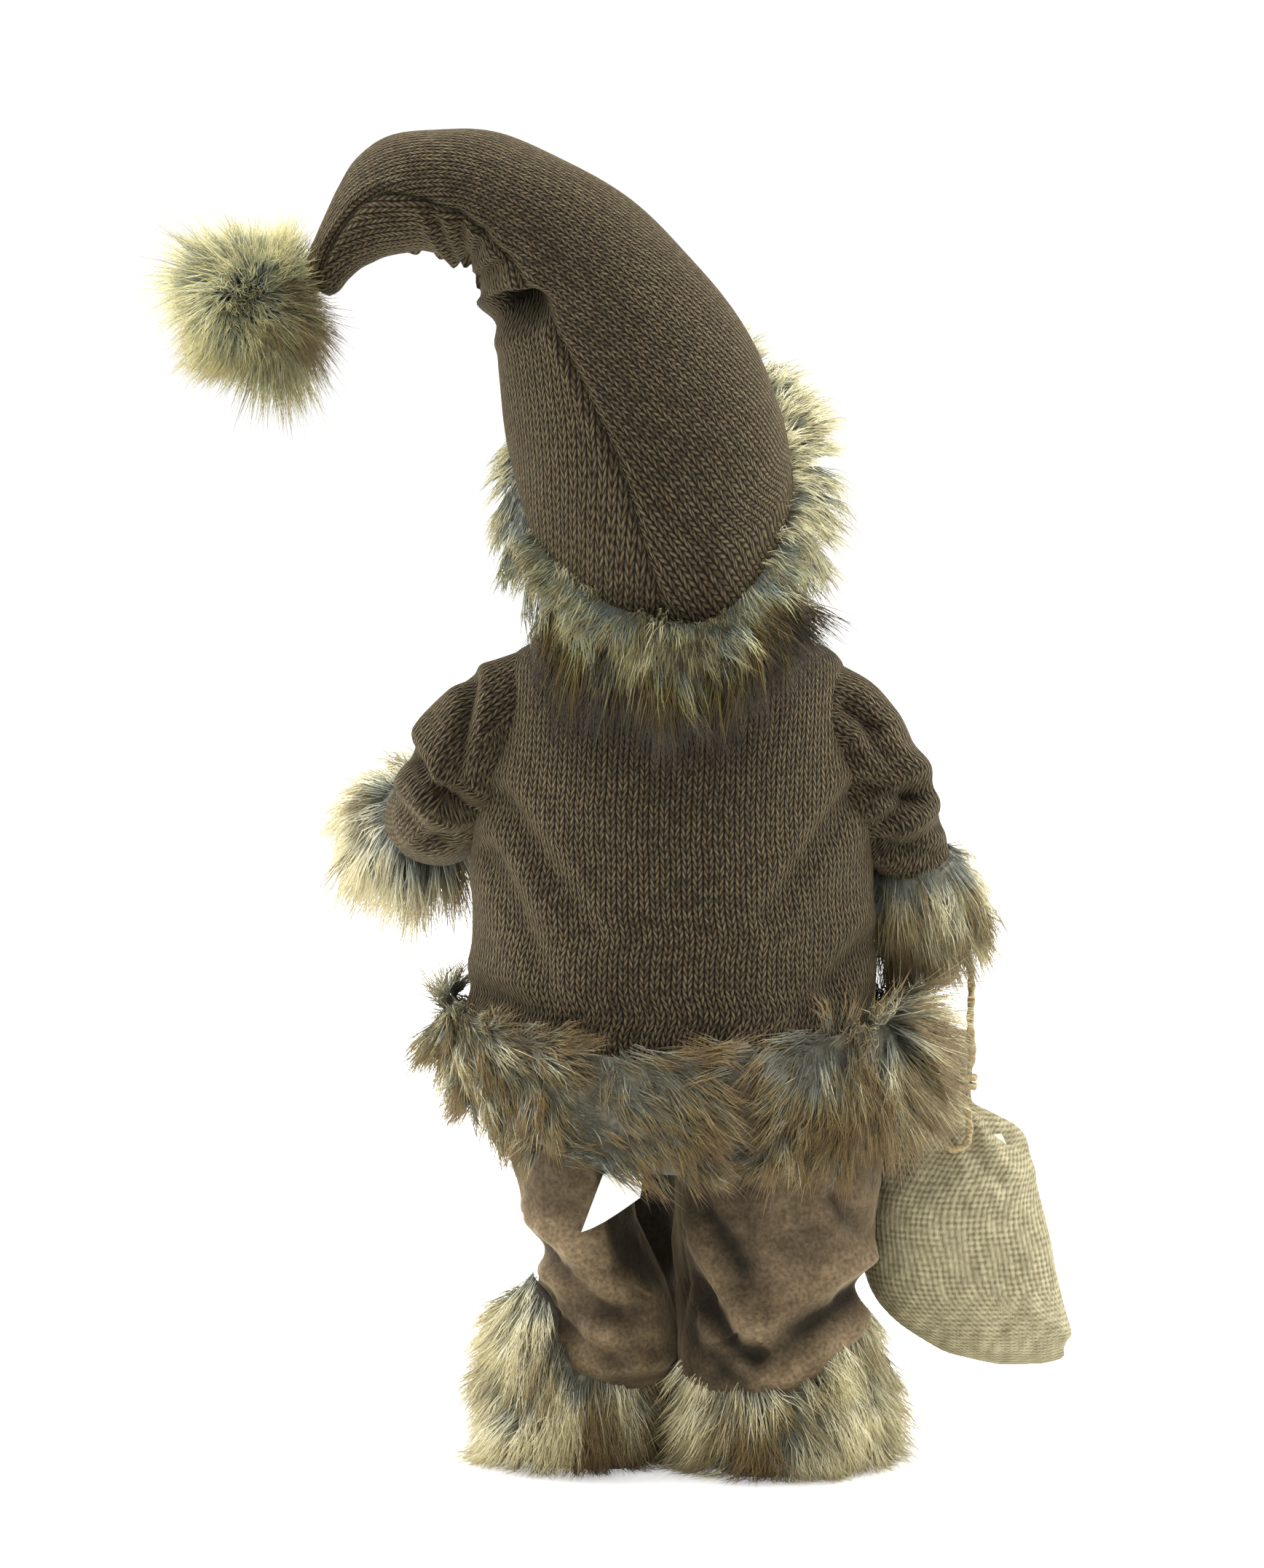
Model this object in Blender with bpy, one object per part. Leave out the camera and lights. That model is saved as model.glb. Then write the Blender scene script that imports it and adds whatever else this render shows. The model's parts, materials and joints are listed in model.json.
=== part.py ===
"""Standing Christmas gnome: a stuffed cloth doll on a weighted base, about 0.51 m high.

It faces -Y, stands on its two soles at z = 0, and its left side is +X. Lengths are in metres. It is
drawn round the neck's axis, and moved at the end so that the origin lies under its box's middle.
The doll is built from the floor up: soles, boots and legs on two dowels, a hip board with a bag of
sand on it, a stuffed torso in a knitted coat, a head on a neck dowel under a knitted hat, two
wired arms, and a burlap sack that hangs by its twine from the right mitten.
"""
import math

import bmesh
import bpy
import numpy as np

# Clearances between pieces that touch
GAP = 0.0003
FIT = 0.0004

# Facets round a limb
ROUND_SIDES = 20

# The middle of the doll's box, seen from above, in the coordinates that the source is drawn in
BOX_MIDDLE = (0.02122, -0.00624)

# Heights of the pieces that stand on each other, from the floor up
SOLE_THICKNESS = 0.005
BOOT_HEIGHT = 0.0243
LEG_LENGTH = 0.0984
SEAT_HEIGHT = 0.0214
BOARD_THICKNESS = 0.008
SAND_BAG_HEIGHT = 0.0267
TORSO_HEIGHT = 0.1204
NECK_DISC_THICKNESS = 0.0024
NECK_STUB_HEIGHT = 0.0145

z_boot = SOLE_THICKNESS + GAP
z_leg = z_boot + BOOT_HEIGHT + GAP
z_seat = z_leg + LEG_LENGTH + GAP
z_board = z_seat + SEAT_HEIGHT + GAP
z_sand = z_board + BOARD_THICKNESS + GAP
z_torso = z_sand + SAND_BAG_HEIGHT + GAP
z_torso_top = z_torso + TORSO_HEIGHT
z_disc = z_torso_top + GAP
z_head_bottom = z_disc + NECK_DISC_THICKNESS + GAP

# Feet: the ankle's place and the foot's half width, heel length and toe length
LEFT_ANKLE = (0.034, -0.010)
RIGHT_ANKLE = (-0.0385, 0.005)
FOOT_HALF_WIDTH = 0.0265
HEEL_LENGTH = 0.0285
TOE_LENGTH = 0.0775
SOLE_EDGE = 0.0007
LEG_DOWEL_RADIUS = 0.005
DOWEL_SINK = 0.016

# Body: the coat is drawn in stations of (drop below the torso's top, half width, half depth)
BODY_X = 0.003
COAT_THICKNESS = 0.0026
COAT_STATIONS = (
    (0.164, 0.0800, 0.0680), (0.153, 0.0790, 0.0670), (0.140, 0.0780, 0.0650),
    (0.121, 0.0775, 0.0620), (0.091, 0.0770, 0.0600), (0.066, 0.0770, 0.0585),
    (0.056, 0.0765, 0.0575), (0.041, 0.0740, 0.0550), (0.016, 0.0675, 0.0480),
    (0.003, 0.0590, 0.0380), (-0.005, 0.0300, 0.0230),
)
COAT_SIDES = 32
HEM_THICKNESS = 0.012
HEM_TOP_BACK, HEM_TOP_SIDE = 0.169, 0.179
HEM_BOTTOM_BACK, HEM_BOTTOM_SIDE = 0.112, 0.134
BACK_SEAM_SIDE = 9
FRONT_SEAM_SIDE = 24
SEAT_HALF_WIDTH, SEAT_HALF_DEPTH = 0.066, 0.050
BAND_HALF_WIDTH = 0.009
BAND_THICKNESS = 0.002
BAND_BELOW_BUTTON = 0.015
BUTTON_RADIUS = 0.0065
BUTTON_THICKNESS = 0.003
BUTTON_DROPS = {"coat_button_low": 0.106, "coat_button_middle": 0.083, "coat_button_high": 0.061}
LABEL_SIZE = (0.020, 0.0006, 0.026)
LABEL_X = 0.024
LABEL_TILT = math.radians(18)
LABEL_TUCK = 0.010
LABEL_GAP = 0.0015

# Neck and head
NECK_DOWEL_RADIUS = 0.005
NECK_DOWEL_LENGTH = 0.105
NECK_DOWEL_SINK = 0.066
NECK_DISC_RADIUS = 0.0165
NECK_STUB_RADIUS = 0.0145
HEAD_HALF_WIDTH, HEAD_HALF_DEPTH, HEAD_HALF_HEIGHT = 0.042, 0.042, 0.050
NOSE_RADIUS = 0.011
EYE_RADIUS = 0.0038
EYE_SPREAD = 0.0135
EYE_RISE = 0.011
MOUSTACHE = (0.027, 0.0080, 0.0070)
MOUSTACHE_Y = -0.0600
MOUSTACHE_DROP = 0.0165

# Hat: the brim's plane leans back, and the tail folds over at the tail joint
BRIM_TILT = math.radians(52)
BRIM_HALF_WIDTH, BRIM_HALF_LENGTH = 0.050, 0.0625
HAT_SHIFT = 0.004
BRIM_TUBE = 0.0165
BRIM_SIDES = 26
TAIL_BALL_RADIUS = 0.0246
TAIL_TIP_RADIUS = 0.0075
TAIL_WIRE_RADIUS = 0.0010
POMPOM_RADIUS = 0.0270
POMPOM_SHANK_LENGTH = 0.0036
POMPOM_SHANK_RADIUS = 0.0025

# Arms
SHOULDER_DROP = 0.018
ARM_WIRE_RADIUS = 0.0010
WIRE_ROOM = 0.0006
WRIST_RADIUS = 0.0138
CUFF_LENGTH = 0.034
CUFF_THICKNESS = 0.0055
CUFF_ON_SLEEVE = 0.75
MITTEN_HALF_WIDTH = 0.0090
MITTEN_HALF_DEPTH = 0.0132
MITTEN_LENGTH = 0.028

# Sack: stations of (height over the knot, left edge, right edge, half depth), knot at the neck
TWINE_RADIUS = 0.00145
CORD_RADIUS = 0.0020
KNOT_RADIUS = 0.0046
SACK_DROP = 0.059
SACK_SHIFT = -0.002
SACK_CLOTH = 0.0012
SACK_STATIONS = (
    (-0.1010, -0.0360, -0.0120, 0.0035), (-0.0960, -0.0425, 0.0080, 0.0105),
    (-0.0850, -0.0445, 0.0240, 0.0190), (-0.0700, -0.0395, 0.0330, 0.0250),
    (-0.0520, -0.0360, 0.0365, 0.0270), (-0.0340, -0.0325, 0.0340, 0.0262),
    (-0.0200, -0.0285, 0.0290, 0.0230), (-0.0100, -0.0225, 0.0215, 0.0180),
    (-0.0040, -0.0140, 0.0145, 0.0125), (0.0000, -0.0072, 0.0072, 0.0072),
    (0.0035, -0.0054, 0.0054, 0.0054), (0.0128, -0.0054, 0.0054, 0.0054),
    (0.0172, -0.0095, 0.0095, 0.0080),
)


def rgb(code):
    """An sRGB hex colour as linear red, green, blue and alpha."""
    parts = [int(code[i:i + 2], 16) / 255 for i in (1, 3, 5)]
    return [p / 12.92 if p <= 0.04045 else ((p + 0.055) / 1.055) ** 2.4 for p in parts] + [1.0]


def material(name, code, roughness, metallic=0.0):
    """A plain Principled material."""
    made = bpy.data.materials.new(name)
    made.use_nodes = True
    shader = made.node_tree.nodes["Principled BSDF"]
    shader.inputs["Base Color"].default_value = rgb(code)
    shader.inputs["Roughness"].default_value = roughness
    shader.inputs["Metallic"].default_value = metallic
    return made


for old in list(bpy.data.objects):
    bpy.data.objects.remove(old)
doll = bpy.data.collections.new("christmas_gnome")
cutters = bpy.data.collections.new("cutters")
for group in (doll, cutters):
    bpy.context.scene.collection.children.link(group)

knit = material("wool_knit", "#5a4a38", 0.95)
fur = material("faux_fur", "#8a8168", 1.0)
velour = material("velour", "#5e4837", 0.9)
burlap = material("burlap", "#a89c7c", 0.95)
twine = material("jute_twine", "#9a8560", 0.95)
suede = material("suede", "#4a3828", 0.85)
rubber = material("rubber_sole", "#2b2622", 0.8)
wood = material("beech", "#c49a6c", 0.6)
sandcloth = material("bagged_sand", "#b8ab90", 0.95)
stuffing = material("calico_stuffing", "#d8cfbd", 0.95)
steel = material("steel_wire", "#9a9a98", 0.35, 1.0)
skin_cloth = material("skin_felt", "#c99c7c", 0.85)
bead = material("glass_bead", "#15120f", 0.1)
label_cloth = material("satin_label", "#eceae4", 0.6)


def unit(vector):
    """The vector at length one."""
    vector = np.asarray(vector, float)
    return vector / np.linalg.norm(vector)


def put(name, mesh, finish, parent=None, home=doll):
    """An object for a mesh that is already in world coordinates, under its joint's empty."""
    made = bpy.data.objects.new(name, mesh)
    home.objects.link(made)
    if finish:
        mesh.materials.append(finish)
    if parent:
        made.parent = parent
        made.location = -parent.location
    if home is cutters:
        made.hide_render = True
        made.display_type = "WIRE"
    return made


def skin(name, rings, finish, parent=None, home=doll, hoop=False, smooth=40):
    """A closed skin over rings of equal count: fans close its ends, or a hoop joins last to first."""
    rings = np.asarray(rings, float)
    count, sides = rings.shape[:2]
    points = [tuple(p) for p in rings.reshape(-1, 3)]
    faces = []
    for i in range(count if hoop else count - 1):
        below, above = i * sides, (i + 1) % count * sides
        for j in range(sides):
            k = (j + 1) % sides
            faces.append((below + j, below + k, above + k, above + j))
    if not hoop:
        for end in (0, count - 1):
            points.append(tuple(rings[end].mean(axis=0)))
            pole = len(points) - 1
            for j in range(sides):
                faces.append((end * sides + (j + 1) % sides, end * sides + j, pole))
    mesh = bpy.data.meshes.new(name)
    mesh.from_pydata(points, [], faces)
    work = bmesh.new()
    work.from_mesh(mesh)
    bmesh.ops.remove_doubles(work, verts=work.verts, dist=1e-6)
    bmesh.ops.recalc_face_normals(work, faces=work.faces)
    work.to_mesh(mesh)
    work.free()
    mesh.shade_smooth()
    mesh.set_sharp_from_angle(angle=math.radians(smooth))
    return put(name, mesh, finish, parent, home)


def oval(centre, half_width, half_depth, sides=ROUND_SIDES, axis=(0, 0, 1), reference=(0, 1, 0)):
    """A ring of points on an ellipse round a centre, square to an axis; depth is along reference."""
    axis = unit(axis)
    deep = unit(np.asarray(reference) - np.dot(reference, axis) * axis)
    wide = np.cross(deep, axis)
    turn = 2 * math.pi * np.arange(sides) / sides
    return (np.asarray(centre) + half_width * np.cos(turn)[:, None] * wide
            + half_depth * np.sin(turn)[:, None] * deep)


def rod(name, start, end, radius, finish, parent=None, home=doll, sides=16):
    """A round rod between two points, from Blender's cone primitive."""
    start, end = np.asarray(start, float), np.asarray(end, float)
    length = float(np.linalg.norm(end - start))
    work = bmesh.new()
    bmesh.ops.create_cone(work, cap_ends=True, segments=sides, radius1=radius, radius2=radius,
                          depth=length)
    mesh = bpy.data.meshes.new(name)
    work.to_mesh(mesh)
    work.free()
    axis = unit(end - start)
    side = unit(np.cross(axis, (0.1, 1, 0.05)))
    frame = np.stack((side, np.cross(axis, side), axis), axis=1)
    places = np.array([v.co for v in mesh.vertices]) @ frame.T + (start + end) / 2
    mesh.vertices.foreach_set("co", places.ravel())
    mesh.update()
    return put(name, mesh, finish, parent, home)


def ball(name, centre, radii, finish, parent=None, home=doll, segments=20, rings=12):
    """An ellipsoid from Blender's sphere primitive."""
    work = bmesh.new()
    bmesh.ops.create_uvsphere(work, u_segments=segments, v_segments=rings, radius=1.0)
    for vertex in work.verts:
        vertex.co = [c + r * p for c, r, p in zip(centre, radii, vertex.co)]
    mesh = bpy.data.meshes.new(name)
    work.to_mesh(mesh)
    work.free()
    mesh.shade_smooth()
    return put(name, mesh, finish, parent, home)


def smooth_route(points, steps):
    """Points on a Catmull-Rom curve through the given ones, with a number of steps between each."""
    points = np.asarray(points, float)
    padded = np.vstack((2 * points[0] - points[1], points, 2 * points[-1] - points[-2]))
    part = np.arange(steps)[:, None] / steps
    route = []
    for a, b, c, d in zip(padded, padded[1:], padded[2:], padded[3:]):
        route.append(0.5 * (2 * b + (c - a) * part + (2 * a - 5 * b + 4 * c - d) * part ** 2
                            + (3 * b - a - 3 * c + d) * part ** 3))
    return np.vstack(route + [points[-1:]])


def tube(name, route, radius, finish, parent=None, home=doll, resolution=2):
    """A round wire along a route: a bevelled curve with filled caps, made a mesh and welded."""
    curve = bpy.data.curves.new(name, "CURVE")
    curve.dimensions = "3D"
    curve.bevel_depth = radius
    curve.bevel_resolution = resolution
    curve.use_fill_caps = True
    line = curve.splines.new("POLY")
    line.points.add(len(route) - 1)
    line.points.foreach_set("co", np.hstack((route, np.ones((len(route), 1)))).ravel())
    guide = bpy.data.objects.new(name + "_curve", curve)
    doll.objects.link(guide)
    view = bpy.context.evaluated_depsgraph_get()
    view.update()
    mesh = bpy.data.meshes.new_from_object(guide.evaluated_get(view))
    bpy.data.objects.remove(guide)
    work = bmesh.new()
    work.from_mesh(mesh)
    bmesh.ops.remove_doubles(work, verts=work.verts, dist=1e-6)
    bmesh.ops.recalc_face_normals(work, faces=work.faces)
    work.to_mesh(mesh)
    work.free()
    mesh.materials.clear()
    return put(name, mesh, finish, parent, home)


def cut(piece, *tools, solver="EXACT"):
    """Takes the tools' space out of a piece."""
    for tool in tools:
        change = piece.modifiers.new("cut_" + tool.name, "BOOLEAN")
        change.operation = "DIFFERENCE"
        change.solver = solver
        change.object = tool


def join(piece, *tools):
    """Joins the tools' shapes onto a piece."""
    for tool in tools:
        change = piece.modifiers.new("join_" + tool.name, "BOOLEAN")
        change.operation = "UNION"
        change.solver = "EXACT"
        change.object = tool


def pivot(name, place):
    """An empty on a joint's axis, the parent of the pieces that the joint moves."""
    made = bpy.data.objects.new(name, None)
    made.location = place
    made.empty_display_size = 0.01
    doll.objects.link(made)
    return made


def foot_ring(ankle, z, half_width, heel, toe, sides=24):
    """A foot's outline: a rounded oblong round the ankle, with its toe towards -Y."""
    turn = 2 * math.pi * np.arange(sides) / sides
    across = np.sign(np.cos(turn)) * np.abs(np.cos(turn)) ** 0.75
    along = np.sign(np.sin(turn)) * np.abs(np.sin(turn)) ** 0.85
    along = np.where(along > 0, along * heel, along * toe)
    return np.stack((ankle[0] + half_width * across, ankle[1] + along, np.full(sides, z)), axis=1)


# Feet and legs. Each boot is a stuffed foot on a flat sole. A dowel stands in it and runs up
# through the trouser leg into the hip board. The fur gaiter goes round boot and trouser end.
BOOT_STATIONS = (
    (0.0, -0.0020, -0.0020, -0.0030), (0.004, 0.0, 0.0, 0.0), (0.012, 0.0, 0.0, -0.0010),
    (0.0175, -0.0020, -0.0010, -0.0100), (0.0215, -0.0040, -0.0025, -0.0320),
    (BOOT_HEIGHT, -0.0060, -0.0045, -0.0480),
)
LEG_STATIONS = {
    "left": ((0.0, -0.0075, 0.0160, 0.0200), (0.006, -0.0080, 0.0215, 0.0280),
             (0.018, -0.0080, 0.0235, 0.0320), (0.034, -0.0075, 0.0240, 0.0325),
             (0.050, -0.0065, 0.0235, 0.0305), (0.066, -0.0045, 0.0265, 0.0330),
             (0.082, -0.0020, 0.0285, 0.0325), (LEG_LENGTH, 0.0, 0.0305, 0.0340)),
    "right": ((0.0, 0.001, 0.0190, 0.0210), (0.006, 0.001, 0.0260, 0.0290),
              (0.018, 0.001, 0.0310, 0.0330), (0.034, 0.001, 0.0325, 0.0335),
              (0.050, 0.001, 0.0315, 0.0310), (0.066, 0.000, 0.0330, 0.0335),
              (0.082, -0.001, 0.0335, 0.0330), (LEG_LENGTH, -0.002, 0.0340, 0.0345)),
}
GAITER_STATIONS = {
    "left": ((0.0015, 0.0350, 0.0350), (0.012, 0.0368, 0.0365), (0.026, 0.0358, 0.0345),
             (0.042, 0.0325, 0.0285), (0.058, 0.0265, 0.0255), (0.074, 0.0185, 0.0220)),
    "right": ((0.0015, 0.0390, 0.0360), (0.012, 0.0408, 0.0375), (0.026, 0.0408, 0.0350),
              (0.040, 0.0390, 0.0290), (0.054, 0.0368, 0.0265), (0.068, 0.0335, 0.0245)),
}
GAITER_SHIFT = {"left": 0.0070, "right": -0.0020}
FOLD_DEPTH = 0.045
LEG_ROOM = 0.0008
leg_bores = []
for side, ankle in (("left", LEFT_ANKLE), ("right", RIGHT_ANKLE)):
    mirror = 1 if side == "left" else -1
    sole_rings = [foot_ring(ankle, z, FOOT_HALF_WIDTH + SOLE_EDGE, HEEL_LENGTH + SOLE_EDGE,
                            TOE_LENGTH + SOLE_EDGE) for z in (0.0, SOLE_THICKNESS)]
    skin(side + "_sole", sole_rings, rubber)
    boot_rings = [foot_ring(ankle, z_boot + up, FOOT_HALF_WIDTH + a, HEEL_LENGTH + b, TOE_LENGTH + c)
                  for up, a, b, c in BOOT_STATIONS]
    boot = skin(side + "_boot", boot_rings, suede)
    room = SOLE_EDGE + FIT
    foot_room = [foot_ring(ankle, -0.010, FOOT_HALF_WIDTH + room, HEEL_LENGTH + room, TOE_LENGTH + room)]
    foot_room += [foot_ring(ankle, z_boot + up + FIT, FOOT_HALF_WIDTH + a * (up > 0.012) + room,
                            HEEL_LENGTH + b * (up > 0.012) + room,
                            TOE_LENGTH + c * (up > 0.012) + room)
                  for up, a, b, c in BOOT_STATIONS[1:]]
    foot_cutter = skin(side + "_foot_room", foot_room, None, home=cutters)
    z_dowel_foot = z_boot + BOOT_HEIGHT - DOWEL_SINK
    z_dowel_top = z_board + BOARD_THICKNESS - GAP
    rod(side + "_leg_dowel", (*ankle, z_dowel_foot + GAP), (*ankle, z_dowel_top), LEG_DOWEL_RADIUS, wood)
    bore = rod(side + "_dowel_bore", (*ankle, z_dowel_foot), (*ankle, z_board + BOARD_THICKNESS + 0.01),
               LEG_DOWEL_RADIUS + FIT, None, home=cutters)
    leg_bores.append(bore)
    cut(boot, bore)
    legs = {}
    for grow in (0.0, LEG_ROOM):
        rings = []
        for up, shift, half_width, half_depth in LEG_STATIONS[side]:
            ring = oval((ankle[0] + shift, ankle[1] + 0.001, z_leg + up), half_width, half_depth)
            turn = 2 * math.pi * np.arange(ROUND_SIDES) / ROUND_SIDES
            centre = ring.mean(axis=0)
            folds = 1 + FOLD_DEPTH * np.sin(2 * turn + mirror * up * 130) * math.sin(
                math.pi * up / LEG_LENGTH)
            ring = centre + (ring - centre) * folds[:, None]
            out = ring - centre
            ring = ring + grow * out / np.linalg.norm(out, axis=1)[:, None]
            rings.append(ring)
        rings[0][:, 2] -= grow
        legs[grow] = rings
    leg = skin(side + "_trouser_leg", legs[0.0], velour)
    cut(leg, bore)
    leg_cutter = skin(side + "_leg_room", legs[LEG_ROOM], None, home=cutters)
    gaiter = skin(side + "_boot_fur",
                  [oval((ankle[0] + GAITER_SHIFT[side], ankle[1], z), half_width, half_depth)
                   for z, half_width, half_depth in GAITER_STATIONS[side]], fur)
    cut(gaiter, foot_cutter, leg_cutter)

# Hips: the velour seat over both legs, the hip board that holds the dowels, and the sand bag
hip_x = (LEFT_ANKLE[0] + RIGHT_ANKLE[0]) / 2
seat = skin("trouser_seat", [oval((hip_x, 0, z_seat + up * SEAT_HEIGHT), SEAT_HALF_WIDTH - shy,
                                  SEAT_HALF_DEPTH - shy, sides=28)
                             for up, shy in ((0.0, 0.002), (0.3, 0.0), (0.8, 0.0), (1.0, 0.003))], velour)
board = skin("hip_board", [oval((hip_x, 0, z_board + up), SEAT_HALF_WIDTH - 0.006,
                                SEAT_HALF_DEPTH - 0.005, sides=28)
                           for up in (0.0, BOARD_THICKNESS)], wood, smooth=30)
cut(seat, *leg_bores)
cut(board, *leg_bores)
skin("sand_bag", [oval((BODY_X, 0, z_sand + up * SAND_BAG_HEIGHT), SEAT_HALF_WIDTH - shy,
                       SEAT_HALF_DEPTH - shy, sides=28)
                  for up, shy in ((0.0, 0.014), (0.12, 0.007), (0.35, 0.002), (0.65, 0.002),
                                  (0.88, 0.007), (1.0, 0.014))], sandcloth)

# Torso and coat: both follow the coat's stations, the torso inside by the cloth and a fit
station_z = np.array([z_torso_top - drop for drop, _, _ in COAT_STATIONS])
station_w = np.array([w for _, w, _ in COAT_STATIONS])
station_d = np.array([d for _, _, d in COAT_STATIONS])


def coat_size(z, inward=0.0):
    """The coat's half width and half depth at a height, set inward square to its surface."""
    sizes = []
    for values in (station_w, station_d):
        slopes = np.abs(np.diff(values) / np.diff(station_z))
        at = int(np.clip(np.searchsorted(station_z, z, side="right") - 1, 0, len(slopes) - 1))
        near = slopes[max(at - 1, 0):at + 2].max()
        sizes.append(float(np.interp(z, station_z, values)) - inward * math.sqrt(1 + near ** 2))
    return sizes


def coat_ring(z, inward=0.0):
    """The ring round the coat at a height."""
    return oval((BODY_X, 0, z), *coat_size(z, inward), sides=COAT_SIDES)


z_shoulder = z_torso_top - SHOULDER_DROP
inner_top = [coat_ring(z, COAT_THICKNESS) for z in station_z[::-1]]
coat = skin("coat", [coat_ring(z) for z in station_z] + inner_top, knit, hoop=True)
torso_z = [z_torso] + [z for z in station_z if z_torso + 0.004 < z < z_torso_top - 0.001] + [z_torso_top]
torso = skin("torso", [coat_ring(z, COAT_THICKNESS + FIT) for z in torso_z], stuffing)
z_dowel = z_torso_top - NECK_DOWEL_SINK
neck_room = rod("neck_bore", (BODY_X, 0, z_dowel - GAP), (BODY_X, 0, z_dowel + NECK_DOWEL_LENGTH + GAP),
                NECK_DOWEL_RADIUS + FIT, None, home=cutters)
rod("neck_dowel", (BODY_X, 0, z_dowel), (BODY_X, 0, z_dowel + NECK_DOWEL_LENGTH), NECK_DOWEL_RADIUS, wood)
disc = rod("neck_disc", (BODY_X, 0, z_disc), (BODY_X, 0, z_disc + NECK_DISC_THICKNESS),
           NECK_DISC_RADIUS, stuffing, sides=28)
cut(torso, neck_room)
cut(disc, neck_room)

# Coat trim: the fur hem in two strips that meet at the back seam, the front band and its buttons
coat_hem_z = station_z[0]


def hem_edges(turn):
    """The fur hem's lower and upper height at a turn round the coat: it rides up at the sides."""
    rise = abs(math.cos(turn)) ** 1.5
    return (HEM_BOTTOM_BACK + (HEM_BOTTOM_SIDE - HEM_BOTTOM_BACK) * rise,
            HEM_TOP_BACK + (HEM_TOP_SIDE - HEM_TOP_BACK) * rise)


for name, first, last in (("hem_fur_right", BACK_SEAM_SIDE, FRONT_SEAM_SIDE),
                          ("hem_fur_left", FRONT_SEAM_SIDE - COAT_SIDES, BACK_SEAM_SIDE)):
    rings = []
    for step in range(first, last + 1):
        turn = 2 * math.pi * step / COAT_SIDES
        low, top = hem_edges(turn)
        points = []
        for out, level in ((0, 0), (0, 0.33), (0, 0.67), (0, 1), (0.4, 1.02), (0.85, 0.82),
                           (1, 0.5), (0.72, 0.14), (0.3, -0.02)):
            z = low + (top - low) * level
            w, d = coat_size(max(z, coat_hem_z))
            reach = out * HEM_THICKNESS + FIT + FIT
            points.append((BODY_X + (w + reach) * math.cos(turn), (d + reach) * math.sin(turn), z))
        ring = np.array(points)
        along = np.array((-math.sin(turn), math.cos(turn), 0))
        ring += along * (GAP * 0.6) * ((step == first) - (step == last))
        rings.append(ring)
    skin(name, rings, fur)
band_foot = z_torso_top - max(BUTTON_DROPS.values()) - BAND_BELOW_BUTTON
band_z = [band_foot] + [z for z in station_z if band_foot < z < z_torso_top - 0.010]
band_rings = []
for z in band_z:
    front = -(coat_size(z)[1] + FIT)
    back = front - BAND_THICKNESS
    band_rings.append([(BODY_X - BAND_HALF_WIDTH, front, z), (BODY_X + BAND_HALF_WIDTH, front, z),
                       (BODY_X + BAND_HALF_WIDTH, back, z), (BODY_X - BAND_HALF_WIDTH, back, z)])
skin("coat_front_band", band_rings, knit, smooth=20)
for name, drop in BUTTON_DROPS.items():
    z = z_torso_top - drop
    reach = BUTTON_RADIUS
    low_y, high_y = (-coat_size(z + move)[1] for move in (-reach, reach))
    lean = unit((0, -1, (high_y - low_y) / (2 * reach)))
    seat_at = np.array((BODY_X, min(-coat_size(z)[1], (low_y + high_y) / 2), z))
    seat_at = seat_at + lean * (FIT + BAND_THICKNESS + FIT + 0.0003)
    rod(name, seat_at, seat_at + lean * BUTTON_THICKNESS, BUTTON_RADIUS, wood, sides=24)

# Care label: sewn in behind the hem at the back, left of the seam, its lower end hanging out
label_turn = math.acos((LABEL_X - BODY_X) / (coat_size(coat_hem_z)[0] + FIT + FIT))
label_face = np.array([BODY_X + (coat_size(coat_hem_z)[0] + FIT + FIT) * math.cos(label_turn),
                       (coat_size(coat_hem_z)[1] + FIT + FIT) * math.sin(label_turn), 0])
label_side = unit((math.sin(label_turn) * (coat_size(coat_hem_z)[0] + FIT),
                   -math.cos(label_turn) * (coat_size(coat_hem_z)[1] + FIT), 0))
label_in = np.cross(label_side, (0, 0, 1))
label_in = label_in * (1 if label_in[1] < 0 else -1)
label_top = hem_edges(label_turn)[0] + LABEL_TUCK
label_rings = []
for depth in (0, LABEL_SIZE[1]):
    ring = []
    for across, up in ((-0.5, -1), (0.5, -1), (0.5, 0), (-0.5, 0)):
        along, rise = across * LABEL_SIZE[0], up * LABEL_SIZE[2]
        turned = (along * math.cos(LABEL_TILT) - rise * math.sin(LABEL_TILT),
                  along * math.sin(LABEL_TILT) + rise * math.cos(LABEL_TILT))
        ring.append(label_face + label_side * turned[0] + label_in * (LABEL_GAP + depth)
                    + (0, 0, label_top + turned[1]))
    label_rings.append(ring)
skin("care_label", label_rings, label_cloth, smooth=20)

# Head: a felt ball with a short neck that turns on the neck dowel
head_turn = pivot("head_turn", (BODY_X, 0, z_head_bottom))
z_head = z_head_bottom + NECK_STUB_HEIGHT + HEAD_HALF_HEIGHT
head_centre = np.array((BODY_X, 0.0, z_head))
head_radii = np.array((HEAD_HALF_WIDTH, HEAD_HALF_DEPTH, HEAD_HALF_HEIGHT))
head = ball("head", head_centre, head_radii, skin_cloth, head_turn, segments=24, rings=14)
head_room = ball("head_room", head_centre, head_radii + FIT, None, home=cutters, segments=24, rings=14)
stub = rod("neck_stub", (BODY_X, 0, z_head_bottom), (BODY_X, 0, z_head - HEAD_HALF_HEIGHT * 0.7),
           NECK_STUB_RADIUS, None, home=cutters, sides=28)
join(head, stub)
cut(head, neck_room)


def on_face(x, z, out=0.0):
    """The point of the head's front at a place across and up, moved outward."""
    dx, dz = x - head_centre[0], z - head_centre[2]
    y = -head_radii[1] * math.sqrt(1 - (dx / head_radii[0]) ** 2 - (dz / head_radii[2]) ** 2)
    out_way = unit((dx / head_radii[0] ** 2, y / head_radii[1] ** 2, dz / head_radii[2] ** 2))
    return np.array((x, y, z)) + out_way * out


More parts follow.
